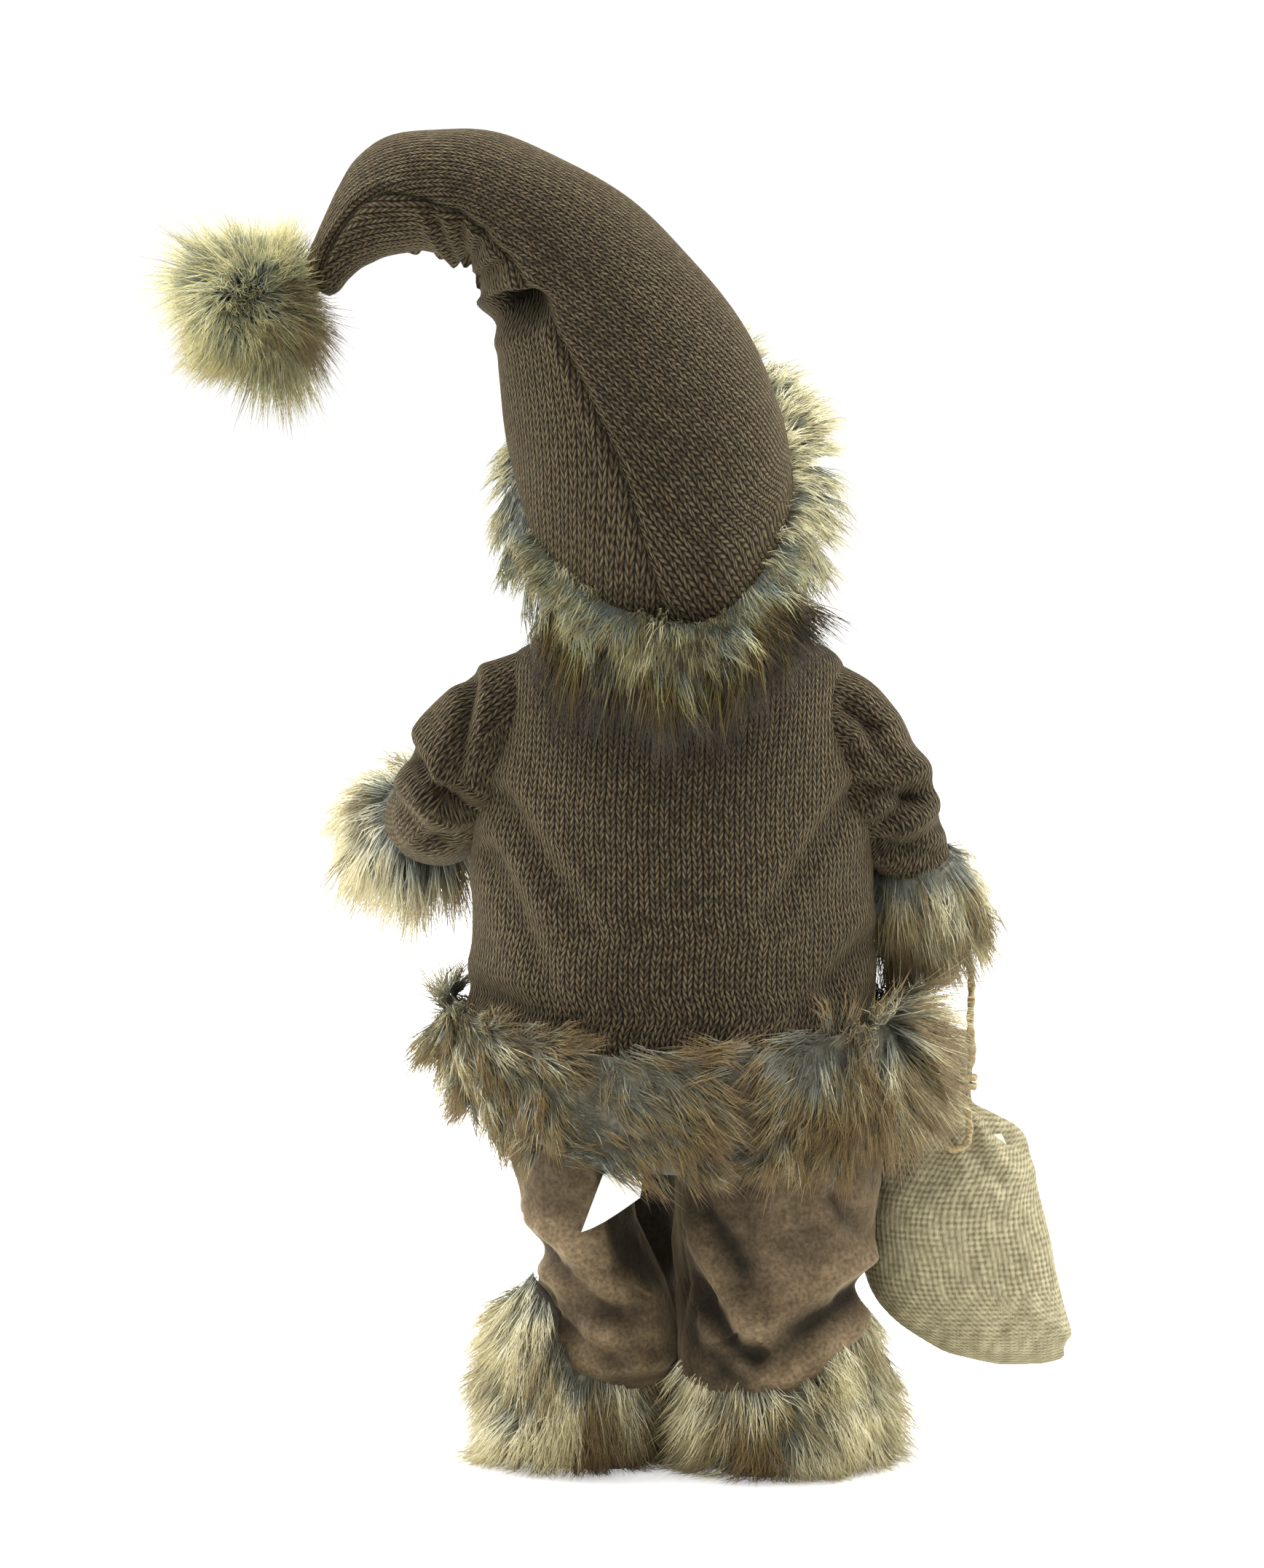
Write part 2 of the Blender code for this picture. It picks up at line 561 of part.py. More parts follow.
for side, across in (("left", EYE_SPREAD), ("right", -EYE_SPREAD)):
    place = on_face(BODY_X + across, z_head + EYE_RISE, EYE_RADIUS * 0.2)
    ball(side + "_eye", place, [EYE_RADIUS] * 3, bead, head_turn, segments=14, rings=8)
    socket = ball(side + "_eye_socket", place, [EYE_RADIUS + FIT] * 3, None, home=cutters,
                  segments=14, rings=8)
    cut(head, socket)
nose_centre = on_face(BODY_X, z_head - 0.004, NOSE_RADIUS * 0.45)
nose = ball("nose", nose_centre, [NOSE_RADIUS] * 3, skin_cloth, head_turn, segments=16, rings=10)
nose_room = ball("nose_room", nose_centre, [NOSE_RADIUS + FIT] * 3, None, home=cutters,
                 segments=16, rings=10)
cut(nose, head_room)

# Beard and moustache: fur pads on the chin and under the nose; the beard hangs clear of the coat
BEARD_STATIONS = (
    (-0.127, -0.0830, 0.006, 0.004), (-0.118, -0.0815, 0.016, 0.008), (-0.100, -0.0785, 0.026, 0.011),
    (-0.072, -0.0740, 0.035, 0.012), (-0.046, -0.0650, 0.041, 0.014), (-0.026, -0.0510, 0.042, 0.016),
    (-0.010, -0.0420, 0.041, 0.013), (-0.002, -0.0390, 0.038, 0.007),
)
beards = {}
for grow in (0.0, FIT):
    beards[grow] = [oval((BODY_X, y, z_head + up), w + grow, d + grow)
                    for up, y, w, d in BEARD_STATIONS]
beard = skin("beard", beards[0.0], fur, head_turn)
beard_room = skin("beard_room", beards[FIT], None, home=cutters)
moustache_centre = (BODY_X, MOUSTACHE_Y, z_head - MOUSTACHE_DROP)
moustache = ball("moustache", moustache_centre, MOUSTACHE, fur, head_turn)
cut(beard, head_room, nose_room)
cut(moustache, beard_room, nose_room, head_room)

# Hat: stations of (x from the body, y, height over the head's centre), way, half sizes.
# The crown starts at the brim's plane and leans to the left; its end is a socket for the tail.
brim_way = np.array((0, math.sin(BRIM_TILT), math.cos(BRIM_TILT)))
CROWN_STATIONS = (
    ((0.000, 0.000, 0.000), tuple(brim_way), 0.0505, 0.0585),
    ((0.003, 0.009, 0.012), (0.05, 0.72, 0.69), 0.0520, 0.0560),
    ((0.006, 0.011, 0.025), (0.12, 0.57, 0.80), 0.0525, 0.0520),
    ((0.013, 0.012, 0.046), (0.30, 0.32, 0.90), 0.0500, 0.0455),
    ((0.025, 0.010, 0.071), (0.48, 0.14, 0.86), 0.0430, 0.0390),
    ((0.041, 0.008, 0.094), (0.72, 0.04, 0.69), 0.0335, 0.0330),
)
TAIL_JOINT = (0.068, 0.006, 0.1150)
TAIL_WAY = (0.96, 0.0, 0.28)
TAIL_STATIONS = (
    ((0.094, 0.005, 0.1170), (0.99, -0.02, -0.14), 0.0225),
    ((0.112, 0.004, 0.1075), (0.80, -0.04, -0.60), 0.0180),
    ((0.122, 0.002, 0.0960), (0.64, -0.08, -0.76), 0.0145),
    ((0.128, 0.001, 0.0860), (0.58, -0.05, -0.81), 0.0115),
)
hat_base = np.array((BODY_X + HAT_SHIFT, 0, z_head))
tail_joint = hat_base + TAIL_JOINT
tail_way = unit(TAIL_WAY)
SOCKET_SETBACK = 0.007
rim = math.sqrt(TAIL_BALL_RADIUS ** 2 - SOCKET_SETBACK ** 2) + 0.0022
crowns = {}
for grow in (0.0, FIT):
    rings = [oval(hat_base + place, w + grow, d + grow, axis=way)
             for place, way, w, d in CROWN_STATIONS]
    rings.append(oval(tail_joint - tail_way * SOCKET_SETBACK, rim + grow, rim + grow, axis=tail_way))
    crowns[grow] = rings
crowns[FIT][0] = crowns[FIT][0] - brim_way * FIT
crown = skin("hat_crown", crowns[0.0], knit, head_turn)
crown_room = skin("hat_crown_room", crowns[FIT], None, home=cutters)
socket = ball("hat_tail_socket", tail_joint, [TAIL_BALL_RADIUS + FIT] * 3, None, home=cutters,
              segments=24, rings=14)
cut(crown, head_room, socket)

brim_deep = np.array((0, math.cos(BRIM_TILT), -math.sin(BRIM_TILT)))
brim_rings = []
for turn in 2 * math.pi * np.arange(BRIM_SIDES) / BRIM_SIDES:
    spoke = math.cos(turn) * np.array((1, 0, 0)) * BRIM_HALF_WIDTH + math.sin(turn) * brim_deep * BRIM_HALF_LENGTH
    outward = unit(math.cos(turn) * np.array((1, 0, 0)) / BRIM_HALF_WIDTH
                   + math.sin(turn) * brim_deep / BRIM_HALF_LENGTH)
    around = 2 * math.pi * np.arange(8) / 8
    brim_rings.append(hat_base + spoke + BRIM_TUBE * (np.cos(around)[:, None] * outward
                                                      + np.sin(around)[:, None] * brim_way))
brim = skin("hat_fur_brim", brim_rings, fur, head_turn, hoop=True)
cut(brim, crown_room, head_room, solver="MANIFOLD")

# Hat tail: a stuffed knit cone that starts as a ball in the crown's socket, with a wire inside
tail_bend = pivot("hat_tail_bend", tail_joint)
tail_rings = []
for polar in (25, 50, 72):
    back, out = math.cos(math.radians(polar)), math.sin(math.radians(polar))
    tail_rings.append(oval(tail_joint - tail_way * TAIL_BALL_RADIUS * back, TAIL_BALL_RADIUS * out,
                           TAIL_BALL_RADIUS * out, axis=tail_way))
tail_rings.append(oval(tail_joint, TAIL_BALL_RADIUS, TAIL_BALL_RADIUS, axis=tail_way))
for place, way, radius in TAIL_STATIONS:
    tail_rings.append(oval(hat_base + place, radius, radius, axis=way))
tip_way = unit(TAIL_STATIONS[-1][1])
tail_tip = hat_base + TAIL_STATIONS[-1][0] + tip_way * 0.003
tail_rings.append(oval(tail_tip, TAIL_TIP_RADIUS, TAIL_TIP_RADIUS, axis=tip_way))
tail = skin("hat_tail", tail_rings, knit, tail_bend)
wire_route = smooth_route([tail_joint - tail_way * 0.010, tail_joint + tail_way * 0.010]
                          + [hat_base + place for place, _, _ in TAIL_STATIONS], 2)
tube("hat_tail_wire", wire_route, TAIL_WIRE_RADIUS, steel, tail_bend)
tail_bore = tube("hat_tail_bore", np.vstack((wire_route, tail_tip + tip_way * 0.004)),
                 TAIL_WIRE_RADIUS + WIRE_ROOM, None, home=cutters)
cut(tail, tail_bore)

# Pom-pom: a fur ball sewn to the tail's tip by a short shank of yarn
shank_start = tail_tip + tip_way * GAP
pompom_way = unit((0.93, 0.0, -0.36))
pompom_swing = pivot("pompom_swing", shank_start)
shank_foot = shank_start + tip_way * GAP + pompom_way * POMPOM_SHANK_RADIUS * 0.6
shank_end = shank_foot + pompom_way * POMPOM_SHANK_LENGTH
rod("pompom_shank", shank_foot, shank_end, POMPOM_SHANK_RADIUS, twine, pompom_swing)
ball("pompom", shank_end + pompom_way * (POMPOM_RADIUS + GAP), [POMPOM_RADIUS] * 3, fur, pompom_swing,
     segments=18, rings=12)

# Arms: the inner end of each arm's wire turns in the torso on the shoulder's axis, and the
# sleeve's inner face is a dish turned about that axis, so the arm clears the coat as it swings.
# Stations are (offset from the shoulder, way, radius), for an arm on the +X side.
shoulder_w = coat_size(z_shoulder)[0]
ARM_STATIONS = {
    "left": (((-0.012, 0, 0.001), (0.80, 0, -0.60), 0.0200), ((0.003, 0, -0.009), (0.74, 0, -0.67), 0.0225),
             ((0.016, -0.004, -0.026), (0.46, -0.35, -0.82), 0.0215),
             ((0.022, -0.016, -0.040), (0.30, -0.80, -0.50), 0.0185),
             ((0.026, -0.028, -0.0475), (0.26, -0.90, -0.34), 0.0165),
             ((0.038, -0.0665, -0.0600), (0.26, -0.92, -0.29), WRIST_RADIUS)),
    "right": (((-0.012, 0, 0.001), (0.80, 0, -0.60), 0.0195), ((0.000, 0, -0.010), (0.58, 0, -0.82), 0.0208),
              ((0.011, -0.002, -0.028), (0.42, -0.08, -0.90), 0.0200),
              ((0.0195, -0.006, -0.045), (0.38, -0.20, -0.90), 0.0172),
              ((0.0352, -0.0150, -0.079), (0.32, -0.24, -0.92), WRIST_RADIUS)),
}
hands = {}
for side, mirror in (("left", 1), ("right", -1)):
    flip = np.array((mirror, 1, 1))
    shoulder = np.array((BODY_X + mirror * shoulder_w, 0, z_shoulder))
    arm_turn = pivot(side + "_shoulder", shoulder)
    stations = [(shoulder + flip * place, unit(flip * way), radius)
                for place, way, radius in ARM_STATIONS[side]]
    wrist, wrist_way, _ = stations[-1]
    cuff_start = wrist - wrist_way * CUFF_LENGTH * CUFF_ON_SLEEVE
    stations.insert(-1, (cuff_start - wrist_way * 0.002, wrist_way, WRIST_RADIUS))
    sleeve = skin(side + "_sleeve", [oval(place, radius, radius, axis=way, reference=(0.66 * mirror, 0, 0.75))
                                     for place, way, radius in stations], knit, arm_turn)
    reach = [0.0]
    dish = [shoulder_w]
    for z, w in sorted(zip(station_z, station_w), reverse=True):
        if z < z_shoulder - 0.001:
            reach.append(z_shoulder - z)
            dish.append(max(w, dish[-1]))
    dish_rings = [oval((BODY_X, 0, z_shoulder), 0.155, 0.155, sides=32, axis=(1, 0, 0), reference=(0, 0, 1))]
    for r, out in list(zip(reach, dish))[:0:-1] + [(0.0005, shoulder_w)]:
        dish_rings.append(oval((BODY_X + mirror * (out + FIT), 0, z_shoulder), r, r, sides=32,
                               axis=(1, 0, 0), reference=(0, 0, 1)))
    body_side = skin(side + "_body_side", dish_rings, None, home=cutters)
    profile = ((0, 0), (0, 0.45), (0.2, 1), (0.55, 1.08), (0.85, 0.9), (1, 0.4), (1, 0), (0.5, 0))
    cuff_rings = [oval(cuff_start + wrist_way * along * CUFF_LENGTH,
                       WRIST_RADIUS + FIT + out * CUFF_THICKNESS, WRIST_RADIUS + FIT + out * CUFF_THICKNESS,
                       axis=wrist_way, reference=(0.66 * mirror, 0, 0.75)) for along, out in profile]
    skin(side + "_cuff_fur", cuff_rings, fur, arm_turn, hoop=True)
    palm = unit(np.array((1, 0, 0)) - wrist_way[0] * wrist_way)
    thumb_way = np.cross(palm, wrist_way)
    thumb_way = thumb_way if thumb_way[1] < 0 or side == "left" and thumb_way[2] > 0 else -thumb_way
    hand_start = wrist + wrist_way * GAP
    mitten_rings = [oval(hand_start + wrist_way * along * MITTEN_LENGTH, MITTEN_HALF_WIDTH * wide,
                         MITTEN_HALF_DEPTH * wide, sides=20, axis=wrist_way, reference=thumb_way)
                    for along, wide in ((0, 0.82), (0.25, 0.96), (0.5, 1.0), (0.78, 0.84), (0.94, 0.5))]
    mitten = skin(side + "_mitten", mitten_rings, velour, arm_turn)
    if side == "left":
        thumb = ball("left_thumb", hand_start + wrist_way * 0.55 * MITTEN_LENGTH
                     + thumb_way * MITTEN_HALF_DEPTH, (0.0042, 0.0045, 0.0045), None, home=cutters,
                     segments=12, rings=8)
        join(mitten, thumb)
    inner_end = (BODY_X + mirror * (shoulder_w - 0.030), 0, z_shoulder)
    bend = (BODY_X + mirror * (shoulder_w + 0.006), 0, z_shoulder)
    core = [inner_end, bend] + [place for place, _, _ in stations[2:]]
    core.append(hand_start + wrist_way * MITTEN_LENGTH * 0.35)
    tube(side + "_arm_wire", np.array(core), ARM_WIRE_RADIUS, steel, arm_turn)
    core_room = [np.array(inner_end) - (mirror * GAP, 0, 0)] + core[1:-1] + [core[-1] + wrist_way * GAP]
    bore = tube(side + "_arm_bore", np.array(core_room), ARM_WIRE_RADIUS + WIRE_ROOM, None, home=cutters)
    cut(sleeve, body_side, bore)
    cut(mitten, bore)
    cut(torso, bore)
    cut(coat, bore)
    hands[side] = (hand_start + wrist_way * MITTEN_LENGTH * 0.52, mitten)

# Twine: threaded through the right mitten from side to side, so it swings about X there; its two
# strands meet in one cord, whose knot sits inside the sack's gathered neck
hand, right_mitten = hands["right"]
twine_swing = pivot("sack_twine_swing", hand)
thread_room = rod("mitten_thread_hole", hand - (0.03, 0, 0), hand + (0.03, 0, 0), TWINE_RADIUS + FIT + 0.0002,
                  None, home=cutters)
cut(right_mitten, thread_room)
knot = hand + (SACK_SHIFT, 0, -SACK_DROP)
half_span = MITTEN_HALF_WIDTH + TWINE_RADIUS + 0.0018
loop_points = [knot + (0.0004, 0, 0.0165), knot + (0.0012, 0, 0.0220), knot + (0.0060, 0.0010, 0.0330),
               hand + (half_span - 0.0015, 0.0005, -0.0110),
               hand + (half_span - 0.0002, 0, -0.0020), hand + (half_span * 0.72, 0, 0),
               hand + (-half_span * 0.72, 0, 0), hand + (-half_span - 0.0002, 0, -0.0020),
               hand + (-half_span - 0.0035, 0.0010, -0.0140), hand + (-half_span - 0.0030, 0.0005, -0.0260),
               knot + (-0.0045, 0.0005, 0.0290), knot + (-0.0016, 0, 0.0220), knot + (-0.0006, 0, 0.0165)]
twine_cord = rod("hand_twine", knot, knot + (0, 0, 0.0220), CORD_RADIUS, twine, twine_swing)
for name, points in (("twine_strand_left", loop_points[:7]), ("twine_strand_right", loop_points[5:])):
    strand = tube(name, smooth_route(points, 2), TWINE_RADIUS, None, home=cutters, resolution=1)
    join(twine_cord, strand)
join(twine_cord, ball("twine_knot", knot, [KNOT_RADIUS] * 3, None, home=cutters, segments=16, rings=10))

# Sack: a burlap pouch gathered round the knot, its filling, the tie round its neck and the bow
sack_swing = pivot("sack_swing", knot)


def sack_ring(station, inward=0.0, sides=20):
    """One level of the sack, set inward, gathered in shallow folds towards its neck."""
    up, low_x, high_x, half_depth = station
    turn = 2 * math.pi * np.arange(sides) / sides
    gather = 0.07 * math.exp(-((up + 0.016) / 0.014) ** 2)
    folds = 1 + gather * np.cos(5 * turn)
    ring = oval(knot + ((low_x + high_x) / 2, 0, up), (high_x - low_x) / 2 - inward, half_depth - inward, sides)
    centre = ring.mean(axis=0)
    return centre + (ring - centre) * folds[:, None]


outer = [sack_ring(s) for s in SACK_STATIONS]
inner = [sack_ring(s, SACK_CLOTH * (1.0 if s[0] > -0.002 else 1.6)) for s in SACK_STATIONS[2:]]
skin("sack_cloth", outer + inner[::-1], burlap, sack_swing)
fill_stations = [s for s in SACK_STATIONS[2:] if s[0] < -0.006]
skin("sack_filling", [sack_ring(s, SACK_CLOTH * 1.6 + FIT * 2) for s in fill_stations], stuffing, sack_swing)
neck_radius = SACK_STATIONS[-2][2]
coil_radius = neck_radius + TWINE_RADIUS + FIT
TIE_TURNS = 2
turns = np.linspace(0, TIE_TURNS * 2 * math.pi, TIE_TURNS * 14 + 1)
tie_pitch = 2 * TWINE_RADIUS + 0.0005
tie_low = SACK_STATIONS[-3][0] + TWINE_RADIUS - 0.0004
coil = np.stack((knot[0] + coil_radius * np.sin(turns), knot[1] + coil_radius * np.cos(turns),
                 knot[2] + tie_low + tie_pitch * turns / (2 * math.pi)), axis=1)
tube("sack_tie", coil, TWINE_RADIUS, twine, sack_swing, resolution=1)
bow_root = np.array((knot[0], knot[1] + coil_radius + 2 * TWINE_RADIUS + GAP, knot[2] + tie_low + tie_pitch))
bow_points = [bow_root, bow_root + (0.006, 0.004, -0.005), bow_root + (0.0085, 0.010, -0.015),
              bow_root + (0.0030, 0.0135, -0.0215), bow_root + (-0.0035, 0.0125, -0.0190),
              bow_root + (-0.0040, 0.008, -0.0090), bow_root + (-0.0010, 0.0045, -0.0030)]
bow = tube("sack_bow", smooth_route(bow_points, 3), TWINE_RADIUS, twine, sack_swing, resolution=1)
join(bow, ball("bow_knot", bow_root + (0, 0.0006, 0), [0.0030, 0.0026, 0.0030], None, home=cutters,
               segments=12, rings=8))

# The row's origin lies on the floor under the middle of the doll's box
for piece in bpy.data.objects:
    if piece.parent is None:
        piece.location.x -= BOX_MIDDLE[0]
        piece.location.y -= BOX_MIDDLE[1]
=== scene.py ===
"""Scene for a standing stuffed Christmas gnome, seen from behind and a little above.

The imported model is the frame. Each section below makes one piece of the doll, or one group of like
pieces, and fixes it to the body that it moves with. Lengths are in metres unless a name ends in mm.
"""
import json
import math

import bpy
import numpy as np
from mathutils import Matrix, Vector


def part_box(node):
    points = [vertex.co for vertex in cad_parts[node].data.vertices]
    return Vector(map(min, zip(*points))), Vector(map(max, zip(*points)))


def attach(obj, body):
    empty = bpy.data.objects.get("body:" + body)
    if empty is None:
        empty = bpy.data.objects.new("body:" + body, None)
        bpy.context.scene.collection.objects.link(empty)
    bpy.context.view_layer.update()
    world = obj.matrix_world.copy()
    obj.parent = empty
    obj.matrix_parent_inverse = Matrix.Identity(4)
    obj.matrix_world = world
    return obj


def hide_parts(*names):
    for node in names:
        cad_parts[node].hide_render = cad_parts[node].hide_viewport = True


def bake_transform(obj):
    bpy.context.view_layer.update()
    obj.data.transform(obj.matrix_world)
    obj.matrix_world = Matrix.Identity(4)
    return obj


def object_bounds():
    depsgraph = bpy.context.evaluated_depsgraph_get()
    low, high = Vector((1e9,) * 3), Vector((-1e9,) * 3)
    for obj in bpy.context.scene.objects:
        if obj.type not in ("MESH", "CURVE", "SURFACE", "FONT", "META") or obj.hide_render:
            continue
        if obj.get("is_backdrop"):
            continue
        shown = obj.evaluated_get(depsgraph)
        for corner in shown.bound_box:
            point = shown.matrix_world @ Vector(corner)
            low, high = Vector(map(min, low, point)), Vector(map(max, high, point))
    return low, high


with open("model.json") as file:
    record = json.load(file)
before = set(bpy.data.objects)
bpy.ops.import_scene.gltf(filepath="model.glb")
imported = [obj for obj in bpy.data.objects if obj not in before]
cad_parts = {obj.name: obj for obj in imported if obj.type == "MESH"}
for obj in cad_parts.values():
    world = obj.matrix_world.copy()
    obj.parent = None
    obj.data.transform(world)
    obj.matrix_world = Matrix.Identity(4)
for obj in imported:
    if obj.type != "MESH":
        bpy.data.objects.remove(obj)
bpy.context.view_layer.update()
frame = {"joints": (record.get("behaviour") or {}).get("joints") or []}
joint_at = {joint["name"]: np.array(joint["pos_m"]) for joint in frame["joints"]}

# Camera: a long lens behind the doll, 8 degrees above level. The frame is 603 mm high where the doll
# stands, and its centre lies 2 mm to the doll's right of the origin.
VIEW_RISE = math.radians(8)
FRAME_HEIGHT = 0.603
CAMERA_DISTANCE = 3.4
AIM = np.array((-0.0024, 0.0, 0.2635))
back_ray = np.array((0, math.cos(VIEW_RISE), math.sin(VIEW_RISE)))
lens = bpy.data.cameras.new("camera")
lens.sensor_width = 36
lens.lens = 36 * CAMERA_DISTANCE / FRAME_HEIGHT
lens.clip_start, lens.clip_end = 0.1, 40
camera = bpy.data.objects.new("camera", lens)
camera.location = AIM + back_ray * CAMERA_DISTANCE
camera.rotation_euler = (math.pi / 2 - VIEW_RISE, 0, math.pi)
bpy.context.scene.collection.objects.link(camera)
bpy.context.scene.camera = camera


def linear(code):
    """An sRGB hex colour as linear red, green, blue and alpha: the sRGB curve undone."""
    parts = [int(code[i:i + 2], 16) / 255 for i in (1, 3, 5)]
    return [p / 12.92 if p <= 0.04045 else ((p + 0.055) / 1.055) ** 2.4 for p in parts] + [1.0]


def connect(tree, node, inputs):
    """Fills a node's inputs: a socket, or a node by its first output, is linked; any other is a value."""
    for name, value in inputs.items():
        if isinstance(value, bpy.types.Node):
            value = value.outputs[0]
        if isinstance(value, bpy.types.NodeSocket):
            tree.links.new(value, node.inputs[name])
        else:
            node.inputs[name].default_value = value


def add(tree, kind, inputs=None, **settings):
    """Adds a shader node of one kind with its settings, and fills its inputs."""
    made = tree.nodes.new("ShaderNode" + kind)
    for name, value in settings.items():
        setattr(made, name, value)
    connect(tree, made, inputs or {})
    return made


def new_material(name):
    """A new material, its node tree and its shader."""
    made = bpy.data.materials.new(name)
    made.use_nodes = True
    return made, made.node_tree, made.node_tree.nodes["Principled BSDF"]


def seen_directly(tree):
    """A node that gives one to camera and mirror rays, and zero to all other rays."""
    rays = add(tree, "LightPath")
    return add(tree, "Math", {0: rays.outputs["Is Camera Ray"], 1: rays.outputs["Is Glossy Ray"]},
               operation="MAXIMUM")


# Studio: a seamless pale floor that reads white to the camera but keeps the doll's soft shadow, an
# even white surround, a large soft lamp behind the camera and two soft lamps behind the doll.
scene = bpy.context.scene
scene.view_settings.view_transform = "Standard"
SURROUND_LIGHT = 0.74
world = bpy.data.worlds.new("studio")
world.use_nodes = True
scene.world = world
sky = world.node_tree
surround = add(sky, "MapRange", {"Value": seen_directly(sky), "To Min": SURROUND_LIGHT, "To Max": 1.0})
connect(sky, sky.nodes["Background"], {"Color": (1, 1, 1, 1), "Strength": surround})

FLOOR_REACH, FLOOR_DROP, FLOOR_GLOW = 9, 0.0004, 0.45
floor_mesh = bpy.data.meshes.new("floor")
floor_mesh.from_pydata([(FLOOR_REACH * x, FLOOR_REACH * y, -FLOOR_DROP)
                        for x, y in ((-1, -1), (1, -1), (1, 1), (-1, 1))], [], [(0, 1, 2, 3)])
floor = bpy.data.objects.new("floor", floor_mesh)
scene.collection.objects.link(floor)
paper, tree, shader = new_material("white_backdrop_paper")
glow = add(tree, "Math", {0: seen_directly(tree), 1: FLOOR_GLOW}, operation="MULTIPLY")
connect(tree, shader, {"Base Color": linear("#f4f4f2"), "Roughness": 1.0, "Specular IOR Level": 0.0,
                       "Emission Color": (1, 1, 1, 1), "Emission Strength": glow})
floor_mesh.materials.append(paper)
floor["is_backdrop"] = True

LAMPS_AIM = np.array((0, 0, 0.26))
# name, place, size, power in watts
LAMPS = (("key_lamp", (0.9, 2.2, 1.7), 1.6, 12), ("left_rim_lamp", (1.4, -0.6, 1.1), 1.0, 38),
         ("right_rim_lamp", (-1.4, -0.5, 1.0), 1.0, 38), ("top_lamp", (0.1, -0.1, 1.9), 1.0, 36))
for name, place, size, power in LAMPS:
    lamp_data = bpy.data.lights.new(name, "AREA")
    lamp_data.size = size
    lamp_data.energy = power
    lamp = bpy.data.objects.new(name, lamp_data)
    scene.collection.objects.link(lamp)
    lamp.location = place
    aim = LAMPS_AIM - np.array(place)
    tilt = math.acos(-aim[2] / np.linalg.norm(aim))
    lamp.rotation_euler = (tilt, 0, math.atan2(aim[1], aim[0]) - math.pi / 2)


# Hat: two panels of machine-knitted stockinette, sewn together front and back, stuffed, and bent
# over to the doll's left. The wales of one panel run across those of the other at the seam.
def circle(steps):
    """Even angles once round, from zero."""
    return 2 * math.pi * np.arange(steps) / steps


def bell(away, wide):
    """A smooth bump: one at zero, falling to 1/e at the half width."""
    return np.exp(-(away / wide) ** 2)


def corners_of(node):
    """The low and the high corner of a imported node's box."""
    return tuple(np.array(corner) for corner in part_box(node))


def curve_through(rows, steps):
    """Points on Catmull-Rom splines through the rows of an array, with a number of steps per span."""
    rows = np.asarray(rows, float)
    padded = np.vstack((2 * rows[:1] - rows[1:2], rows, 2 * rows[-1:] - rows[-2:-1]))
    a, b, c, d = (padded[i:len(rows) - 1 + i, None, :] for i in range(4))
    part = (np.arange(steps) / steps)[None, :, None]
    spans = 0.5 * (2 * b + (c - a) * part + (2 * a - 5 * b + 4 * c - d) * part ** 2
                   + (3 * b - a - 3 * c + d) * part ** 3)
    return np.vstack((spans.reshape(-1, rows.shape[1]), rows[-1:]))


def tube_rings(centres, ways, wides, deeps, turns, reference):
    """Rings on ellipses round a route: centre + wide * cos(turn) * side + deep * sin(turn) * back."""
    ways = ways / np.linalg.norm(ways, axis=1)[:, None]
    reference = np.asarray(reference, float)
    back = reference - (ways @ reference)[:, None] * ways
    back = back / np.linalg.norm(back, axis=1)[:, None]
    side = np.cross(back, ways)
    wides, deeps = np.reshape(wides, (-1, 1, 1)), np.reshape(deeps, (-1, 1, 1))
    return (centres[:, None] + wides * np.cos(turns)[None, :, None] * side[:, None]
            + deeps * np.sin(turns)[None, :, None] * back[:, None])


